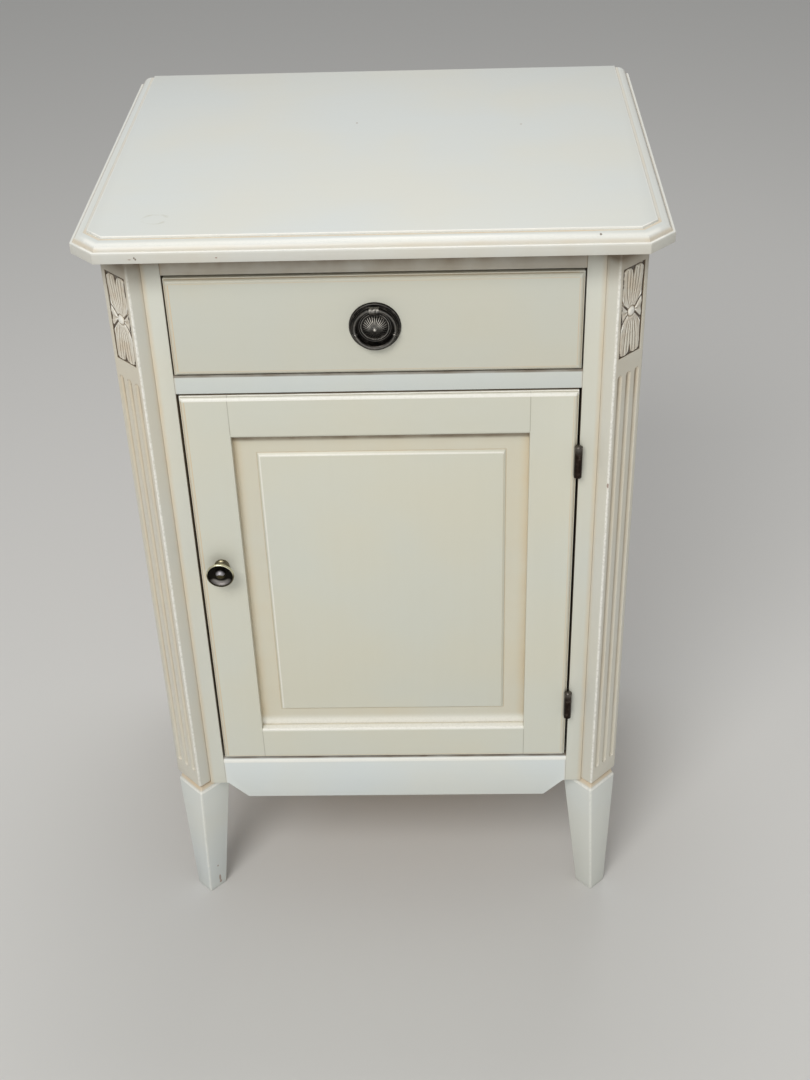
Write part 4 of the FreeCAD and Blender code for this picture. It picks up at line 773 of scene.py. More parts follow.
def apron_glaze_and_shade(f):
    """Glaze at the ends of the apron, and painted shadow along its top, under the door."""
    end_wash, end_line = rail_ends(f)
    # Painted shadow along the top of the apron, under the door's edge.
    return end_wash, end_line + 0.85 * (f.fade(f.z, *UNDER_DOOR) * f.fall(f.y, *APRON_BEHIND))


def apron_highlight(f):
    """Painted highlight on the rounded upper edge of the apron, just below the painted shadow."""
    return f.fall(f.z, *APRON_CROWN_HIGH) * f.fade(f.z, *APRON_CROWN_LOW)


print("stiles", round(STILE[1].x - STILE[0].x, 1), "mm wide")

# %% [markdown]
# ## Wear
# The cabinet has been used. A few small knocks show darker wood through the paint, and a wet glass has left
# a faint grey ring on the top. Such marks could be painted by hand. Here each knock is a ragged spot about
# a point, given by its centre and three radii in metres, and the ring uses the same distance, so that all
# of them are easy to move.

# %% Worn places
BARE_PATCH = srgb(112, 98, 82)
FADED_PATCH = srgb(158, 132, 118)
TOP_MARKS = (((-0.1717, -0.1820, 0.7086), (0.0007, 0.003, 0.0009), BARE_PATCH),
             ((-0.1708, -0.1820, 0.7075), (0.0007, 0.003, 0.0009), BARE_PATCH),
             ((-0.1752, -0.1820, 0.7074), (0.0013, 0.003, 0.0004), FADED_PATCH),
             ((0.1665, -0.1754, 0.7175), (0.0010, 0.0013, 0.0009), BARE_PATCH),
             ((-0.1118, -0.1820, 0.7078), (0.0010, 0.003, 0.0006), FADED_PATCH),
             ((-0.0187, 0.0509, 0.7200), (0.0009, 0.0013, 0.001), FADED_PATCH),
             ((0.1186, 0.0404, 0.7200), (0.0011, 0.0008, 0.001), FADED_PATCH))
FOOT_MARKS = (((-0.1812, -0.1425, 0.0128), (0.0011, 0.0018, 0.0055), FADED_PATCH),
              ((-0.1811, -0.1418, 0.0066), (0.0017, 0.0018, 0.0022), FADED_PATCH),
              ((-0.1812, -0.1452, 0.0324), (0.0009, 0.0012, 0.0013), FADED_PATCH))
POST_MARKS = (((0.1830, -0.1630, 0.4918), (0.0014, 0.0014, 0.0030), FADED_PATCH),)
GLASS_PLACE = (-0.1612, -0.1395, 0.7200)
GLASS_RADII = (0.0092, 0.0082, 0.02)


def glass_ring(f):
    """Faint, broken ring where a wet glass stood."""
    ring = f.line(f.reach(GLASS_PLACE, GLASS_RADII) + 0.25 * (f.noise(200.0) - 0.5), 1.0, 0.25)
    return 0.45 * ring * f.fade(f.noise(130.0), 0.35, 0.6)


print("marks", len(TOP_MARKS) + len(FOOT_MARKS) + len(POST_MARKS))

# %% [markdown]
# ## Easing an edge
# A board's edges are never perfectly sharp: sandpaper and paint round them, and those soft edges catch the
# light and draw every joint. A Bevel modifier could do it, but it would also round short edges, such as
# those of screw holes. So each board is copied from the packed model, its flat faces are merged, and only
# its long convex edges get a small round. The copy then stands for the board and rides on the same body.

# %% Helpers for pieces
EASE_ANGLE = math.radians(28)
EASE_SEGMENTS = 3
EASE_PROFILE = 0.5
SHORTEST_EASED = 3.5 * MM
FLAT_ANGLE = math.radians(0.4)
WELD = 0.002 * MM


def finish_piece(piece, node, finish):
    """Let a new piece stand for a node of the packed model."""
    piece.data.materials.clear()
    piece.data.materials.append(finish)
    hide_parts(node)
    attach(piece, body_of[node])


def smooth_by_angle(shape, limit):
    """Smooth shading that breaks at edges sharper than a limit."""
    for face in shape.faces:
        face.smooth = True
    for edge in shape.edges:
        edge.smooth = not (edge.is_manifold and edge.calc_face_angle(0) > limit)


def linked_piece(name, shape, mesh):
    """Object in the scene with a finished shape as its mesh."""
    shape.to_mesh(mesh)
    shape.free()
    piece = bpy.data.objects.new(name, mesh)
    bpy.context.collection.objects.link(piece)
    return piece


def eased(node, finish, width):
    """Copy of a board with its long convex edges rounded; gives the number of those edges."""
    shape = bmesh.new()
    shape.from_mesh(nodes[node].data)
    bmesh.ops.remove_doubles(shape, verts=shape.verts, dist=WELD)
    bmesh.ops.dissolve_limit(shape, angle_limit=FLAT_ANGLE, verts=shape.verts, edges=shape.edges)
    sharp = [edge for edge in shape.edges if edge.is_manifold and edge.is_convex
             and edge.calc_face_angle() > EASE_ANGLE and edge.calc_length() > SHORTEST_EASED]
    bmesh.ops.bevel(shape, geom=sharp, offset=width, segments=EASE_SEGMENTS, profile=EASE_PROFILE,
                    affect="EDGES", clamp_overlap=False)
    bmesh.ops.triangulate(shape, faces=[face for face in shape.faces if len(face.verts) > 4])
    smooth_by_angle(shape, EASE_ANGLE)
    name = node + "_eased"
    finish_piece(linked_piece(name, shape, bpy.data.meshes.new(name)), node, finish)
    return len(sharp)


print("edges over", round(math.degrees(EASE_ANGLE)), "degrees are eased")

# %% [markdown]
# ## The painted boards
# All the outer boards are one cream, but the light tints and shades each face a little: cooler on the top,
# the rails and the feet, warmer on the drawer, the door and the posts, darker on the drawer under the
# overhang and lighter on the apron. Coloured lamps could do that, but they would tint the neighbours too,
# so these painted shades are part of the paint. Posts and feet are rounded most.

# %% Paint the boards
CREAM_TOP = (213, 215, 210)
# The drawer's cream is darker and the apron's lighter, as painted shade and painted light.
CREAM_DRAWER = (205, 204, 191)
CREAM_DOOR = (212, 211, 197)
CREAM_RAIL = (208, 212, 208)
CREAM_APRON = (222, 226, 223)
CREAM_CASE = (213, 212, 200)
CREAM_POST = (213, 210, 198)
CREAM_FOOT = (215, 218, 214)

# Finish, round on the edges in millimetres, and the boards that share them
BOARDS = (
    (paint("top_paint", "X", CREAM_TOP, top_glaze_and_shade, TOP_MARKS, top_arris_and_highlight, stain=glass_ring), 0.6,
     ["top_board"]),
    (paint("drawer_paint", "X", CREAM_DRAWER, drawer_glaze_and_shade), 0.35, ["drawer_front"]),
    (paint("door_stile_paint", "Z", CREAM_DOOR, door_glaze_and_shade, (), door_highlight), 0.35,
     ["door_left_stile", "door_right_stile"]),
    (paint("door_rail_paint", "X", CREAM_DOOR, door_glaze_and_shade, (), door_highlight), 0.35,
     ["door_top_rail", "door_bottom_rail"]),
    (paint("door_panel_paint", "Z", CREAM_DOOR, panel_glaze_and_shade, (), panel_highlight), 0.5, ["door_panel"]),
    (paint("post_paint", "Z", CREAM_POST, post_glaze_and_shade, POST_MARKS, post_arris_and_highlight, speckle=0.7), 1.1,
     ["left_front_post", "right_front_post"]),
    (paint("stile_paint", "Z", CREAM_CASE, stile_glaze_and_shade), 0.4, ["left_frame_stile", "right_frame_stile"]),
    (paint("foot_paint", "Z", CREAM_FOOT, foot_glaze, FOOT_MARKS, foot_arris_and_highlight, speckle=0.6), 1.3,
     ["left_front_foot", "right_front_foot", "left_rear_foot", "right_rear_foot"]),
    (paint("rail_paint", "X", CREAM_RAIL, rail_glaze_and_shade), 0.4, ["top_rail", "middle_rail"]),
    (paint("apron_paint", "X", CREAM_APRON, apron_glaze_and_shade, (), apron_highlight), 0.4, ["apron"]),
    (paint("side_paint", "Z", CREAM_CASE), 0.8,
     ["left_side_panel", "right_side_panel", "left_rear_post", "right_rear_post"]),
)
for board_finish, ease, board_names in BOARDS:
    for board in board_names:
        print(board, "eased edges", eased(board, board_finish, ease * MM))

# %% [markdown]
# ## Grids of points
# The carving and the metalwork are all surfaces that a formula gives over two running values: across and
# up for the carving, radius and angle for plate and knob, around and along for the ring. They could be
# sculpted or screwed from curves, but one helper that turns such a grid of points into a mesh serves all
# of them. It welds the points that fall together and closes what is left open. The small curves beside it
# are the ones that the formulas are put together from.

# %% Surface from a grid
GRID_SMOOTH_ANGLE = math.radians(50)


def grid_piece(name, points, wrap_rows=False, wrap_columns=False, values=None):
    """Mesh over rows and columns of points; values are stored on the points under their names."""
    rows, columns = points.shape[:2]
    down = np.arange(rows if wrap_rows else rows - 1)
    along = np.arange(columns if wrap_columns else columns - 1)
    row, column = (part.ravel() for part in np.meshgrid(down, along, indexing="ij"))
    next_row = (row + 1) % rows
    next_column = (column + 1) % columns
    quads = np.stack([row * columns + column, row * columns + next_column,
                      next_row * columns + next_column, next_row * columns + column], axis=1)
    mesh = bpy.data.meshes.new(name)
    mesh.from_pydata(points.reshape(-1, 3).tolist(), [], quads.tolist())
    for label, array in (values or {}).items():
        mesh.attributes.new(label, "FLOAT", "POINT").data.foreach_set("value", array.ravel())
    shape = bmesh.new()
    shape.from_mesh(mesh)
    bmesh.ops.remove_doubles(shape, verts=shape.verts, dist=WELD)
    open_edges = [edge for edge in shape.edges if edge.is_boundary]
    if open_edges:
        bmesh.ops.holes_fill(shape, edges=open_edges, sides=0)
    bmesh.ops.recalc_face_normals(shape, faces=shape.faces)
    smooth_by_angle(shape, GRID_SMOOTH_ANGLE)
    return linked_piece(name, shape, mesh)


def rise(values, start, end):
    """Smooth step from 0 at the start to 1 at the end, for arrays."""
    share = np.clip((values - start) / (end - start), 0, 1)
    return share * share * (3 - 2 * share)


def bell(values, middle, width):
    """Soft bump of height 1 about a middle."""
    return np.exp(-((values - middle) / width) ** 2)


def half_round(values, middle, half_width):
    """Round bump of height 1 about a middle, with steep sides."""
    return np.sqrt(np.clip(1 - ((values - middle) / half_width) ** 2, 0, 1))


def blurred(field, passes):
    """Field averaged with its neighbours several times."""
    for _ in range(passes):
        padded = np.pad(field, 1, mode="edge")
        field = (padded[:-2, 1:-1] + padded[2:, 1:-1] + padded[1:-1, :-2] + padded[1:-1, 2:]
                 + 4 * padded[1:-1, 1:-1]) / 8
    return field


print("half way up a rise", float(rise(np.array(0.5), 0, 1)))

# %% [markdown]
# ## The relief of the carved panels
# Each canted post has a small carved panel at its head: two fans of ribbed leaf, one up and one down, tied
# at the middle by a round boss, with a little curled petal on each side. It could be sculpted by hand; a
# height formula gives the same relief and keeps both sides alike. It works in millimetres across and up
# from the middle of the panel, and gives a height from 0 at the sunk ground to about 1 at the crest.

# %% Carving relief
FAN_HALF_WIDTH = 11.5
FAN_ROOT = 4.0
FAN_END = 36.9
FAN_SHIFT = 0.75
FAN_SWELL = 6.2
FAN_SPREAD = 12.0
FAN_SWAY = 0.22
LOBE_SHARE = 0.52
LOBE_DROP = 1.0
LOBE_CORNER_DROP = 2.6
NOTCH_DEPTH = 6.0
NOTCH_SHARE = 0.13
FOLD_SHARES = (0.3, 0.62)
FOLD_WIDTH_SHARE = 0.06
FOLD_RUN = (3, 9)
CREST_RUN = (12, 34)
WAIST = (13, 6)
CURL_RUN = (10, 16)
RIM = (0.8, 0.6)
RIM_RUN = (0.8, 2.5)
TROUGH = (2.1, 0.6)
FAN_SIDES = (0.0, 0.5)
FAN_TIP = (0.0, 0.9)
FAN_BASE = (0.3, 1.2)
PETAL_START = 3.7
PETAL_SPREAD = 1.1
PETAL_SIDES = (0.85, 1.0)
PETAL_BASE = (3.6, 4.6)
PETAL_TIP = (11.6, 12.3)
BOSS_RADIUS = 4.0
BOSS_HEIGHT = 1.12
MOAT = (BOSS_RADIUS + 0.4, 0.7)


def fan(across, up):
    """Height of one fan of folded leaf."""
    along = np.maximum(up, 0.01)
    outline = FAN_ROOT + (FAN_HALF_WIDTH - FAN_ROOT) * (1 - np.exp(-(along / FAN_SWELL) ** 1.6))
    spread = FAN_HALF_WIDTH * (1 - np.exp(-along / FAN_SPREAD)) / (1 - math.exp(-FAN_END / FAN_SPREAD))
    share = across / spread
    edge = outline - np.abs(across)
    lobe = (np.abs(share) - LOBE_SHARE) / LOBE_SHARE
    end = FAN_END - LOBE_CORNER_DROP * lobe ** 4 - LOBE_DROP * lobe ** 2
    end = end - NOTCH_DEPTH * bell(share, 0, NOTCH_SHARE)
    folds = sum(bell(np.abs(share), at, FOLD_WIDTH_SHARE) for at in FOLD_SHARES)
    crease = bell(share, 0, FOLD_WIDTH_SHARE)
    body = 0.66 + 0.16 * rise(along, *CREST_RUN) - 0.1 * bell(along, *WAIST)
    body = body - 0.1 * np.minimum(share ** 2, 1) - (0.36 * folds + 0.38 * crease) * rise(along, *FOLD_RUN)
    curl = 1 - rise(along, *CURL_RUN)
    rim = 0.36 * bell(edge, *RIM) * curl * rise(along, *RIM_RUN)
    trough = 0.22 * bell(edge, *TROUGH) * curl
    inside = rise(edge, *FAN_SIDES) * rise(end - along, *FAN_TIP) * rise(up, *FAN_BASE)
    return (body + rim - trough) * inside


def petal(across, up):
    """Height of the small petal on each side of the boss."""
    out = np.abs(across)
    half = 0.4 + PETAL_SPREAD * np.maximum(out - PETAL_START, 0)
    share = np.abs(up) / half
    body = 0.46 + 0.2 * bell(share, 0.5, 0.2) - 0.14 * bell(share, 0, 0.2)
    return body * (1 - rise(share, *PETAL_SIDES)) * rise(out, *PETAL_BASE) * (1 - rise(out, *PETAL_TIP))


def carving_height(across, up):
    """Height of the whole relief, a little off to the front."""
    across = across + FAN_SHIFT
    away = np.hypot(across, up)
    boss = BOSS_HEIGHT * half_round(away, 0, BOSS_RADIUS)
    moat = 0.3 * bell(away, *MOAT)
    swayed = across + FAN_SWAY * np.sin(0.11 * up)
    leaf = np.maximum.reduce([fan(swayed, up), fan(swayed, -up), petal(swayed, up)])
    return np.maximum(leaf - moat * (leaf > 0), boss)


print("height at the boss", round(float(carving_height(np.array(-FAN_SHIFT), np.array(0.0))), 2))

# %% [markdown]
# ## The surface of a carved panel
# The relief is laid on the canted face as a fine grid, whose rim turns down into the recess, so that the
# panel is closed at its back. Glaze gathers in hollows and along the outline of a carving, where painted
# shade darkens it further, and high places are rubbed and carry a painted highlight. A hollow is where the
# relief lies below its own average, so comparing the heights with a blurred copy finds hollows and proud
# places without painting them.

# %% Carving surface
CARVING_HALF_WIDTH = 12.4
CARVING_STEP = 0.22
GROUND_DEPTH = 1.3
CREST_DEPTH = -0.7
RECESS_DEPTH = 4.45
HIGHEST = 1.05
TOOL_MARK = 0.02
FINE_BLUR = 2
WIDE_BLUR = 24
MASK_GAIN = 7.0
PANEL_RIM = (0.3, 1.1)
BACK_LINE = (CARVING_HALF_WIDTH - 2.3, CARVING_HALF_WIDTH - 1.4)
FRONT_LINE = (3.5 - CARVING_HALF_WIDTH, 5.0 - CARVING_HALF_WIDTH)
GROUND_HEIGHTS = (0.02, 0.25)
BREAK_WAVE = 0.17
BREAK_SHIFT = 14
BOSS_RIM = (BOSS_RADIUS - 1.2, BOSS_RADIUS)
PROUD_REACH = (12, 20)


def carving_masks(across, up, height, edge):
    """Where the relief is hollow, where its outline is dark and where it is proud."""
    sunk = blurred(height, WIDE_BLUR) - height
    # The dark outline is glaze with painted shade where the relief meets its recess.
    outline = np.maximum(1 - rise(edge, *PANEL_RIM), rise(across, *BACK_LINE))
    outline = np.maximum(outline, 0.85 * (1 - rise(height, *GROUND_HEIGHTS)))
    by_arris = 1 - rise(across, *FRONT_LINE)
    outline = outline * (1 - 0.85 * by_arris * rise(np.cos(BREAK_WAVE * (up - BREAK_SHIFT)), 0.0, 0.4))
    boss = 1 - rise(np.hypot(across + FAN_SHIFT, up), *BOSS_RIM)
    # Proud places are painted pale, as rubbing and painted highlight together.
    proud = np.clip(-sunk * MASK_GAIN, 0, 1) * (1 - rise(np.abs(up), *PROUD_REACH))
    return {"hollow": np.clip(sunk * MASK_GAIN, 0, 1), "outline": outline,
            "proud": np.maximum(0.8 * boss, proud)}


def carving_points(side):
    """Grid of points over one panel, in metres, with its masks."""
    low, high = CARVED
    half_height = (high.z - low.z) / 2
    half_width = CARVING_HALF_WIDTH
    columns = np.linspace(-half_width, half_width, round(2 * half_width / CARVING_STEP))
    rows = np.linspace(-half_height, half_height, round(2 * half_height / CARVING_STEP))
    across, up = np.meshgrid(columns, rows)
    marks = np.sin(1.7 * across + 0.6 * up) + np.sin(0.9 * up - 2.3 * across)
    height = blurred(carving_height(across, up) + TOOL_MARK * marks, FINE_BLUR)
    edge = np.minimum(half_width - np.abs(across), half_height - np.abs(up))
    depth = GROUND_DEPTH + (CREST_DEPTH - GROUND_DEPTH) * np.clip(height, 0, HIGHEST)
    depth = np.where(edge < CARVING_STEP / 2, RECESS_DEPTH, depth)
    x = CANT_X + (POST_FACE / 2 + across - depth) / math.sqrt(2)
    y = CANT_Y + (POST_FACE / 2 + across + depth) / math.sqrt(2)
    points = np.stack([side * x, y, up + (low.z + high.z) / 2], axis=-1) * MM
    return points, carving_masks(across, up, height, edge)


print("panel", 2 * CARVING_HALF_WIDTH, "mm wide,", round(CARVED[1].z - CARVED[0].z, 1), "mm high")

# %% [markdown]
# ## The paint of the carving
# The same cream lies on the carving, but most of the glaze was left there, so it is warmer, brown in its
# hollows and nearly black in broken lines along its outline, where glaze and painted shade meet; the proud
# places are painted pale, as rubbing and highlight together. The masks that were stored on the points steer
# the colours, because no formula on the position alone could follow the leaves.

# %% Both carved panels
CARVING_CREAM = srgb(218, 213, 199)
CARVING_TAN = srgb(208, 196, 177)
CARVING_BROWN = srgb(134, 116, 92)
CARVING_DARK = srgb(60, 46, 36)
CARVING_RELIEF = 0.04


def carving_paint():
    """Paint with a brown glaze that fills the relief and is darkest, with painted shade, in broken lines
    along its outline; proud places carry a painted highlight.
    """
    f = Finish("carving_paint", {"Specular IOR Level": 0.45})
    hollow = f.attribute("hollow")
    wash = f.mix(f.fade(f.noise(90.0, 2.0), 0.3, 0.75), CARVING_CREAM, CARVING_TAN)
    colour = f.mix(f.smallest(1.4 * hollow, 0.9), wash, CARVING_BROWN)
    # Painted highlight on the proud places, with rubbing.
    colour = f.mix(0.85 * f.attribute("proud"), colour, RUBBED_AND_LIT_CREAM)
    broken = f.fade(f.noise(260.0, 2.0), 0.24, 0.46)
    # Broken dark outline: glaze and painted shade.
    colour = f.mix(f.smallest(f.attribute("outline") * broken, 0.94), colour, CARVING_DARK)
    return f.dress(colour, 0.4 + 0.2 * hollow, f.noise(1200.0, 2.0), CARVING_RELIEF)


carving_finish = carving_paint()
for hand_name, side_sign in (("right", 1), ("left", -1)):
    surface, masks = carving_points(side_sign)
    carved = grid_piece(hand_name + "_carving", surface, values=masks)
    finish_piece(carved, hand_name + "_carved_panel", carving_finish)
    print(carved.name, len(carved.data.polygons), "faces")

# %% [markdown]
# ## Dark bronze
# The pull and the hinges are dark bronze: nearly black, with browner patina in patches and bright metal
# where fingers rub it and where a painted highlight lies. One function makes all of them, and takes a
# formula for the places of wear and painted highlight, so each fitting can wear where it is touched and
# shine where light would catch it.

# %% Bronze
BLACK_BRONZE = srgb(34, 33, 32)
GREY_BRONZE = srgb(50, 45, 40)
RUBBED_AND_LIT_BRONZE = srgb(214, 210, 202)
BRONZE_RELIEF = 0.02


def bronze(name, dark, brown, rubbed_and_lit, gloss):
    """Dark bronze, with brown patina in patches and bright metal where a formula puts wear and painted
    highlight.
    """
    f = Finish(name, {"Metallic": 1.0, "Specular IOR Level": 0.5})
    patina = f.noise(260.0, 3.0)
    colour = f.mix(f.fade(patina, 0.35, 0.7), dark, brown)
    worn = f.smallest(0.12 * f.fade(patina, 0.55, 0.8) + rubbed_and_lit(f), 1.0)
    # Bright metal stands for wear and for painted highlights.
    colour = f.mix(worn, colour, RUBBED_AND_LIT_BRONZE)
    roughness = gloss - 0.02 * worn + 0.1 * (patina - 0.5)
    return f.dress(colour, roughness, f.noise(2600.0, 2.0), BRONZE_RELIEF)


def stored_wear_and_highlight(f):
    """Wear and painted highlight that were stored on the points of the mesh."""
    return f.attribute("worn")


print("bronze relief", BRONZE_RELIEF, "mm")

# %% [markdown]
# ## The plate of the pull
# A round stamped plate carries a fluted rosette inside a circle of beads, with three raised rings outside
# them. Modelling 28 flutes and 56 beads one by one would be slow; as heights over radius and angle, one
# cosine makes all the flutes and one repeating distance all the beads. The beads are rubbed bright. The
# spokes between the flutes, brightest in the upper half, the tip and thin lines on the rings are painted
# highlights.

# %% Rosette plate
PLATE_RADIUS = 20.0
PLATE_GROUND = 1.4
# Radius and height of the turned-down edge
PLATE_EDGE = ((19.6, PLATE_GROUND + 0.45), (PLATE_RADIUS - 0.12, PLATE_GROUND + 0.1), (PLATE_RADIUS, 1.0))
PLATE_INSIDE = 19.2
PLATE_RINGS = 120
POINTS_PER_FLUTE = 12
ROSETTE_RADIUS = 9.4
ROSETTE_RISE = 5.2
ROSETTE_FLUTES = 28
FLUTE_DEPTH = 1.1
FLUTE_RUN = (1.8, 7.5)
SCALLOP = 0.6
SCALLOP_EDGE = (0, 0.3)
TIP_RADIUS = 1.3
TIP_RISE = 1.2
BEAD_CIRCLE = 10.7
BEAD_RADIUS = 0.7
BEAD_COUNT = 56
# Radius, half width and height of each raised ring
PLATE_RIMS = ((18.6, 1.3, 0.75), (16.6, 0.55, 0.35), (12.3, 0.5, 0.35))
HIGHLIGHT_LINES = (12.3, 16.6, 17.9, 19.3)
HIGHLIGHT_LINE_WIDTH = 0.2
TIP_HIGHLIGHT = (1.1, 1.6)
SPOKE = (0.3, 0.75)
SPOKE_END = (0, 0.4)
SPOKE_RUN = (2.5, 6.0)
LIT_UPPER_HALF = (-3.5, 2.5)
ROSETTE_GLOSS = 0.5
PLATE = span("pull_plate")
PLATE_X = (PLATE[0].x + PLATE[1].x) / 2
PLATE_Z = (PLATE[0].z + PLATE[1].z) / 2


def plate_height(radius, angle):
    """Height of the plate's front above the drawer, in millimetres, and its wear and painted highlight."""
    flute = 0.5 - 0.5 * np.cos(ROSETTE_FLUTES * angle)
    end = ROSETTE_RADIUS - SCALLOP * flute ** 2
    ball = (ROSETTE_RADIUS ** 2 + ROSETTE_RISE ** 2) / (2 * ROSETTE_RISE)
    dome = np.sqrt(np.clip(ball ** 2 - radius ** 2, 0, None)) - ball + ROSETTE_RISE
    dome = np.maximum(dome - FLUTE_DEPTH * flute * rise(radius, *FLUTE_RUN), 0)
    dome = dome * rise(end - radius, *SCALLOP_EDGE)
    tip = TIP_RISE * half_round(radius, 0, TIP_RADIUS)
    turn = (angle * BEAD_COUNT / (2 * math.pi) + 0.5) % 1 - 0.5
    along = turn * 2 * math.pi * BEAD_CIRCLE / BEAD_COUNT
    bead = np.sqrt(np.clip(BEAD_RADIUS ** 2 - (radius - BEAD_CIRCLE) ** 2 - along ** 2, 0, None))
    rims = sum(size * half_round(radius, at, half) for at, half, size in PLATE_RIMS)
    # Painted highlights on the spokes of the upper half, the tip and thin lines on the rings; wear on the
    # beads.
    spokes = rise(1 - flute, *SPOKE) * rise(end - radius, *SPOKE_END) * (0.3 + 0.7 * rise(radius, *SPOKE_RUN))
    upper = 0.2 + 0.8 * rise(radius * np.sin(angle), *LIT_UPPER_HALF)
    core = 1 - rise(radius, *TIP_HIGHLIGHT)
    lines = sum(bell(radius, at, HIGHLIGHT_LINE_WIDTH) for at in HIGHLIGHT_LINES)
    worn = np.maximum(upper * spokes, core) + 0.35 * bead / BEAD_RADIUS + 0.2 * lines
    return PLATE_GROUND + dome + tip + bead + rims, np.clip(worn, 0, 1)


def facing_front(radius, angle, height, x, z):
    """Points at a radius and angle about an axis towards the front, in metres."""
    places = [x + radius * np.cos(angle), FACE_Y - height, z + radius * np.sin(angle)]
    return np.stack(places, axis=-1) * MM


def pull_plate_points():
    """Front of the plate from its middle to its edge, and its flat back, with its wear and painted highlight.
    """
    angles = np.linspace(0, 2 * math.pi, POINTS_PER_FLUTE * ROSETTE_FLUTES, endpoint=False)
    edge_radii, edge_heights = np.array(PLATE_EDGE).T
    radii = np.concatenate([np.linspace(0.0, PLATE_INSIDE, PLATE_RINGS), edge_radii])
    radius, angle = np.meshgrid(radii, angles, indexing="ij")
    height, worn = plate_height(radius, angle)
    height[PLATE_RINGS:] = edge_heights[:, None]
    radius = np.vstack([radius, np.full_like(angles, PLATE_RADIUS), np.zeros_like(angles)])
    angle = np.vstack([angle, angles, angles])
    height, worn = (np.pad(field, ((0, 2), (0, 0))) for field in (height, worn))
    return facing_front(radius, angle, height, PLATE_X, PLATE_Z), worn


plate_points, plate_worn = pull_plate_points()
plate = grid_piece("pull_rosette", plate_points, wrap_columns=True, values={"worn": plate_worn})
rosette_bronze = bronze("rosette_bronze", BLACK_BRONZE, GREY_BRONZE, stored_wear_and_highlight, ROSETTE_GLOSS)
finish_piece(plate, "pull_plate", rosette_bronze)
print("plate", len(plate.data.polygons), "faces")

# %% [markdown]
# ## The ring of the pull
# A cast ring hangs from the eye at the top of the plate. Its rod swells towards the bottom, between two
# groups of small collars, and a straight bar closes it through the eye. A bent tube with beads threaded on
# it would show seams; here one round section is carried along the ring, and its size grows and shrinks on
# the way. The collars are rubbed bright, and a stripe along the front is a painted highlight.

# %% Ring
RING_RADIUS = 15.9
RING_ROD = 1.7
RING_SWELL = 0.55
SWELL_START = 0.25
COLLAR_ANGLE = math.radians(74)
# Shift of each collar along the ring, as an angle, and its height
COLLARS = ((0.0, 0.95), (0.085, 0.55), (-0.085, 0.45))
COLLAR_WIDTH = 0.032
RING_POINTS = 260
BAR_POINTS = 16
ROD_SIDES = 24
COLLAR_WEAR_START = 0.6
COLLAR_WEAR_GAIN = 0.8
FRONT_STRIPE = (1.5 * math.pi, 0.45)
STRIPE_HIGHLIGHT = 0.18
RING_GLOSS = 0.36
RING_Y = FACE_Y - 4.9
EYE = span("pull_eye_bolt")


def pull_ring_points():
    """Ring section carried from the pivot bar round the circle and back to the bar, with its wear and painted
    highlight.
    """
    pivot_z = (EYE[0].z + EYE[1].z) / 2 - PLATE_Z
    reach = math.sqrt(RING_RADIUS ** 2 - pivot_z ** 2)
    gap = math.asin(reach / RING_RADIUS)
    turn = np.linspace(math.pi / 2 - gap, -3 * math.pi / 2 + gap, RING_POINTS)
    bar = np.linspace(-reach, reach, BAR_POINTS)[1:-1]
    x = np.concatenate([RING_RADIUS * np.cos(turn), bar])
    z = np.concatenate([RING_RADIUS * np.sin(turn), np.full_like(bar, pivot_z)])
    from_bottom = np.concatenate([np.abs(turn + math.pi / 2), np.full_like(bar, math.pi)])
    rod = RING_ROD + RING_SWELL * (1 - rise(from_bottom, SWELL_START, COLLAR_ANGLE))
    rod = rod + sum(size * bell(from_bottom, COLLAR_ANGLE - shift, COLLAR_WIDTH) for shift, size in COLLARS)
    tangent = np.stack([np.roll(x, -1) - np.roll(x, 1), np.roll(z, -1) - np.roll(z, 1)])
    tangent = tangent / np.linalg.norm(tangent, axis=0)
    around = np.linspace(0, 2 * math.pi, ROD_SIDES, endpoint=False)
    out = np.outer(rod, np.cos(around))
    points = np.stack([x[:, None] + out * tangent[1][:, None] + PLATE_X,
                       RING_Y + np.outer(rod, np.sin(around)),
                       z[:, None] - out * tangent[0][:, None] + PLATE_Z], axis=-1) * MM
    on_collar = np.clip((rod[:, None] - RING_ROD - COLLAR_WEAR_START) * COLLAR_WEAR_GAIN, 0, 1)
    # Wear on the collars, and a painted highlight as a stripe along the front.
    return points, np.maximum(on_collar, STRIPE_HIGHLIGHT * bell(around, *FRONT_STRIPE)[None, :])


ring_points, ring_worn = pull_ring_points()
ring = grid_piece("pull_ring_rod", ring_points, True, True, {"worn": ring_worn})
finish_piece(ring, "pull_ring", bronze("ring_bronze", BLACK_BRONZE, GREY_BRONZE, stored_wear_and_highlight, RING_GLOSS))
print("ring", len(ring.data.polygons), "faces")

# %% [markdown]
# ## The eye and the hinges
# The eye bolt of the pull and the butt hinges keep the shapes of the packed model, and get bronze of their
# own: streaks of painted highlight on the upper front of the eye, where fingers also hold it, and a browner
# tone on the hinges, with a painted highlight at the upper end of each barrel.

# %% Eye and hinges
HINGE_TOPS = [span(name + "_hinge_pin")[1].z for name in ("lower", "upper")]
HINGE_SHEEN_DROP = 1.5
HINGE_SHEEN_REACH = 7.0
HINGE_DARK = srgb(42, 34, 29)
HINGE_BROWN = srgb(60, 48, 41)
HINGE_GLOSS = 0.42
EYE_GLOSS = 0.46
EYE_FRONT = (2.0, 3.4)


def eye_highlight(f):
    """Painted highlight in streaks along the upper front of the eye, where the fingers also touch it."""
    up = f.z - (EYE[0].z + EYE[1].z) / 2
    forward = RING_Y - f.y
    streaks = f.fade(f.noise(700.0, 1.0, STROKE_STRETCH["Z"]), 0.35, 0.6)
    # Painted highlight, placed where fingers would also rub it.
    return (0.08 + 0.22 * streaks) * f.fade((up + forward) / math.sqrt(2), *EYE_FRONT)


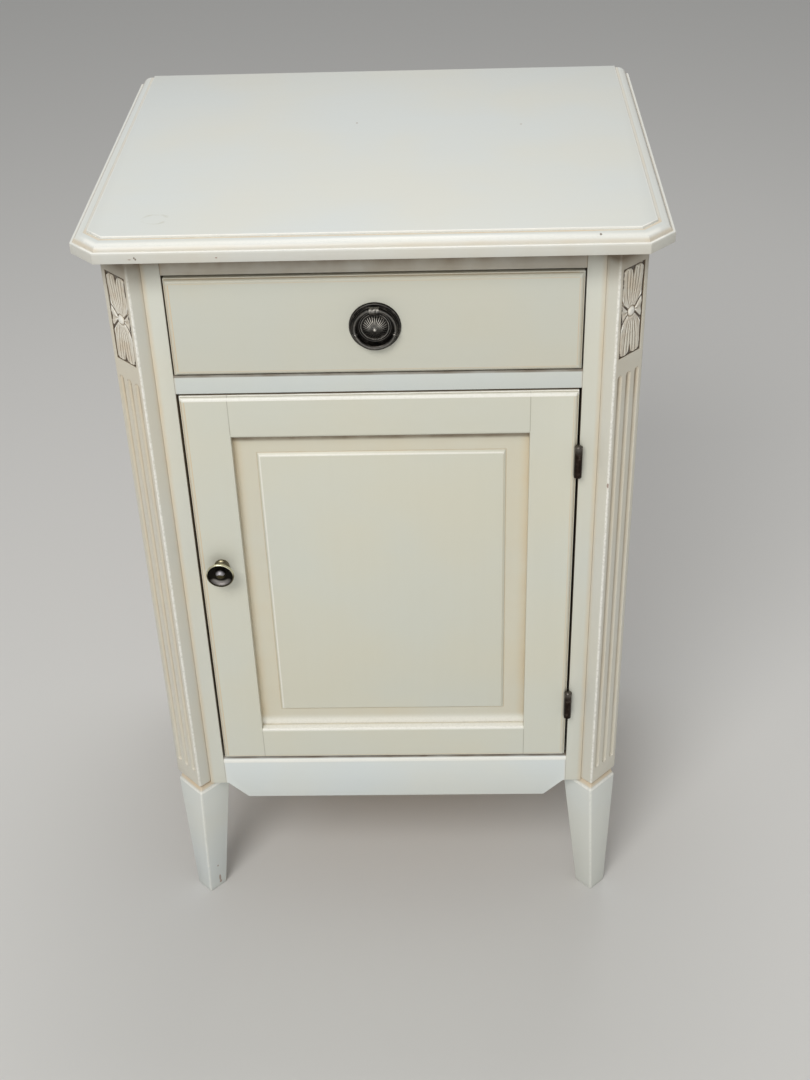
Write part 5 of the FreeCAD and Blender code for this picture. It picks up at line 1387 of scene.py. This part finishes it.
def hinge_highlight(f):
    """Painted highlight at the upper end of each hinge barrel."""
    return 0.16 * f.largest(*(f.line(f.z, high - HINGE_SHEEN_DROP, HINGE_SHEEN_REACH) for high in HINGE_TOPS))


def give(finish, names):
    """Put a finish on nodes of the packed model that keep their own shape."""
    for name in names:
        nodes[name].material_slots[0].material = finish
    print(finish.name, "on", len(names), "nodes")


give(bronze("hinge_bronze", HINGE_DARK, HINGE_BROWN, hinge_highlight, HINGE_GLOSS),
     [side + "_hinge_" + part for side in ("lower", "upper") for part in ("case_leaf", "door_leaf", "pin")])
give(bronze("eye_bronze", BLACK_BRONZE, GREY_BRONZE, eye_highlight, EYE_GLOSS), ["pull_eye_bolt"])

# %% [markdown]
# ## The shape of the knob
# The knob of the door is turned brass: a small foot, a waist that flares into a thin rim, and a dished face
# with a button in its middle. A turned piece is a profile swept round an axis, so its points are a radius
# and a height above the door, carried round the circle. Its rim is thinner than the packed model's, and its
# button smaller, which shows from the front.

# %% Turned knob
KNOB = span("knob")
KNOB_MIDDLE = (KNOB[0] + KNOB[1]) / 2
KNOB_SIDES = 72
# Radius and height of the points of foot and rim
KNOB_FOOT = ((0.0, 0.0), (6.4, 0.0), (6.4, 1.3), (6.3, 1.65))
KNOB_RIM = ((11.55, 13.4), (11.75, 13.75), (11.75, 14.4), (11.55, 15.05), (11.2, 15.4))
WAIST_HEIGHTS = (1.8, 13.3)
WAIST_POINTS = 24
WAIST_RADIUS = 4.2
WAIST_COVE = 1.9
COVE_REACH = 1.5
FLARE = 7.0
FLARE_START = 6.0
DISH_TOP = 15.5
DISH_DEPTH = 4.0
DISH_WIDTH = 6.45
BUTTON_RADIUS = 4.4
BUTTON_FOOT = 12.0
BUTTON_RISE = 4.35
ROUND_POINTS = 14


def knob_points():
    """Turned profile of the knob, from the door out and round to the tip of its button."""
    start, end = WAIST_HEIGHTS
    height = np.linspace(start, end, WAIST_POINTS)
    flare = FLARE * np.clip((height - FLARE_START) / (end - FLARE_START), 0, 1) ** 4
    waist = np.stack([WAIST_RADIUS + WAIST_COVE * np.exp((start - height) / COVE_REACH) + flare, height])
    turn = np.linspace(0, math.pi / 2, ROUND_POINTS)
    dish = np.stack([BUTTON_RADIUS + DISH_WIDTH * np.cos(turn), DISH_TOP - DISH_DEPTH * np.sin(turn)])
    button = np.stack([BUTTON_RADIUS * np.cos(turn), BUTTON_FOOT + BUTTON_RISE * np.sin(turn)])
    foot, rim = np.array(KNOB_FOOT).T, np.array(KNOB_RIM).T
    radii, heights = np.concatenate([foot, waist, rim, dish, button], axis=1)
    angles = np.linspace(0, 2 * math.pi, KNOB_SIDES, endpoint=False)
    radius, angle = np.meshgrid(radii, angles, indexing="ij")
    height = np.broadcast_to(heights[:, None], angle.shape)
    return facing_front(radius, angle, height, KNOB_MIDDLE.x, KNOB_MIDDLE.z)


turned_knob = grid_piece("turned_knob", knob_points(), wrap_columns=True)
print("knob", len(turned_knob.data.polygons), "faces")

# %% [markdown]
# ## The brass of the knob
# The brass has aged and is still yellow outside. Its lip carries a painted highlight, the dish is painted
# nearly black as a dark reflection with shade, and the bottom of the dish and the upper half of the button
# carry painted grey reflections. Such marks could be left to a noise, but on a small turned piece they
# follow the radius and the height, so those two steer the colours.

# %% Knob brass
BRASS_PALE = srgb(138, 131, 108)
BRASS_DULL = srgb(104, 97, 76)
BRASS_LIP_HIGHLIGHT = srgb(232, 228, 198)
BUTTON_GOLD = srgb(78, 72, 50)
BUTTON_HIGHLIGHT = srgb(176, 173, 176)
DISH_DARK_REFLECTION = srgb(22, 20, 18)
DISH_REFLECTION_GREY = srgb(140, 136, 136)
BRASS_GLOSS = 0.36
BRASS_RELIEF = 0.01
KNOB_FRONT = (KNOB[0].y + 5.3, KNOB[0].y + 5.9)
BUTTON_EDGE = (4.0, 4.6)
DISH_EDGE = (10.3, 10.8)
LIP_EDGE = (10.5, 11.0)
LIP_HEIGHTS = (-1.0, 4.0)
DISH_REFLECTION_RADII = (6.6, 8.4)
DISH_REFLECTION_HEIGHTS = (-7.2, -4.0)
CRESCENT_DROP = 1.0
CRESCENT_RADII = (2.2, 3.2)
CRESCENT_HEIGHTS = (0.2, 1.4)


def knob_brass():
    """Aged brass, with a painted dark reflection and shade in the dished face, and painted highlights on the
    lip, the button and the bottom of the dish.
    """
    f = Finish("knob_brass", {"Metallic": 1.0})
    out_x = f.x - KNOB_MIDDLE.x
    up_z = f.z - KNOB_MIDDLE.z
    below = up_z + CRESCENT_DROP
    radius = f.math("SQRT", out_x * out_x + up_z * up_z)
    front = f.fall(f.y, *KNOB_FRONT)
    dish = front * f.fade(radius, *BUTTON_EDGE) * f.fall(radius, *DISH_EDGE)
    button = front * f.fall(radius, *BUTTON_EDGE)
    # Painted highlight: a bright crescent on the top of the button.
    crescent = f.fade(f.math("SQRT", out_x * out_x + below * below), *CRESCENT_RADII)
    crescent = crescent * f.fade(up_z, *CRESCENT_HEIGHTS)
    # Painted reflection: grey at the bottom of the dish.
    rubbed_and_lit = f.fade(radius, *DISH_REFLECTION_RADII) * f.fall(up_z, *DISH_REFLECTION_HEIGHTS)
    # Painted highlight along the top of the lip.
    lip = f.fade(radius, *LIP_EDGE) * f.fade(up_z, *LIP_HEIGHTS)
    patina = f.noise(300.0, 3.0)
    colour = f.mix(f.fade(patina, 0.35, 0.7), BRASS_PALE, BRASS_DULL)
    colour = f.mix(button, colour, f.mix(crescent, BUTTON_GOLD, BUTTON_HIGHLIGHT))
    # Painted dark reflection and shade in the dish.
    colour = f.mix(0.97 * dish * (1 - 0.8 * rubbed_and_lit), colour, DISH_DARK_REFLECTION)
    colour = f.mix(0.8 * dish * rubbed_and_lit, colour, DISH_REFLECTION_GREY)
    colour = f.mix(0.85 * lip, colour, BRASS_LIP_HIGHLIGHT)
    roughness = BRASS_GLOSS + 0.06 * (patina - 0.4) + 0.2 * button + 0.16 * rubbed_and_lit * dish
    return f.dress(colour, roughness, f.noise(2400.0), BRASS_RELIEF)


finish_piece(turned_knob, "knob", knob_brass())
print("knob stands out", round(FACE_Y - KNOB[0].y, 1), "mm")

# %% [markdown]
# ## Steel and plastic inside
# Screws, strike plate, nut and shelf supports are plain bright steel with fine turning marks, and the catch
# is brown moulded plastic. They are small and mostly hidden, so two simple finishes with one noise each are
# enough: the noise shifts the colour, the gloss and the relief together, as real grain does.

# %% Steel and plastic
STEEL_DARK = srgb(168, 168, 166)
STEEL_PALE = srgb(196, 196, 194)
PLASTIC_DARK = srgb(96, 66, 44)
PLASTIC_PALE = srgb(110, 78, 54)


def grained(f, scale, dark, pale, roughness, relief):
    """Finish whose grain shifts colour, roughness and relief together."""
    grain = f.noise(scale, 2.0)
    least, added = roughness
    return f.dress(f.mix(grain, dark, pale), least + added * grain, grain, relief)


give(grained(Finish("plain_steel", {"Metallic": 1.0}), 900.0, STEEL_DARK, STEEL_PALE, (0.32, 0.12), 0.01),
     ["back_screws", "catch_screws", "hinge_case_screws", "hinge_door_screws", "knob_screw", "pull_nut",
      "shelf_supports", "strike_plate", "top_screws"])
give(grained(Finish("catch_plastic_brown"), 2200.0, PLASTIC_DARK, PLASTIC_PALE, (0.45, 0.1), 0.02),
     ["magnet_catch"])

# %% [markdown]
# ## Bare wood inside
# The drawer box, the shelf and the inner boards are unpainted. Wood grain is a stack of growth rings cut
# along their length. A picture of wood would repeat and need unwrapping; a noise that is drawn out along
# the board, seen through a sine, gives bands that wander as real ones do. Two finer noises add pores and
# flecks.

# %% Wood finishes
WOOD_PALE = srgb(206, 172, 126)
WOOD_DARK = srgb(168, 128, 84)
PLY_PALE = srgb(196, 160, 112)
PLY_DARK = srgb(164, 124, 80)
GROWTH_BANDS = 115.0
LEAST_STRETCH = 0.05
WOOD_RELIEF = 0.04


def wood(name, along, pale, dark):
    """Plain wood with its grain along one axis."""
    f = Finish(name, {"Specular IOR Level": 0.35})
    stretch = STROKE_STRETCH[along]
    growth = f.noise(24.0, 2.0, tuple(max(value, LEAST_STRETCH) for value in stretch), 0.3)
    bands = f.math("SINE", GROWTH_BANDS * growth)
    pores = f.noise(700.0, 3.0, stretch)
    fleck = f.noise(190.0, 2.0, stretch)
    colour = f.mix(0.32 + 0.24 * bands + 0.3 * (fleck - 0.5), pale, dark)
    colour = f.mix(0.45 * f.fade(pores, 0.52, 0.75), colour, dark)
    return f.dress(colour, 0.6 + 0.15 * (pores - 0.5), pores + 0.2 * bands, WOOD_RELIEF)


give(wood("wood_across", "X", WOOD_PALE, WOOD_DARK),
     ["bottom_board", "drawer_divider", "drawer_back", "shelf", "rear_top_rail", "drawer_stops"])
give(wood("wood_deep", "Y", WOOD_PALE, WOOD_DARK),
     ["drawer_left_side", "drawer_right_side", "left_drawer_guide", "right_drawer_guide", "left_top_cleat",
      "right_top_cleat"])
give(wood("wood_upright", "Z", WOOD_PALE, WOOD_DARK), ["foot_dowels"])
give(wood("back_ply", "Z", PLY_PALE, PLY_DARK), ["back_panel"])
give(wood("floor_ply", "X", PLY_PALE, PLY_DARK), ["drawer_floor"])

# %% [markdown]
# ## The two boxes
# A finish may soften an edge, but it must not make the cabinet grow. This script doesn't compare the box
# before dressing with the box now.
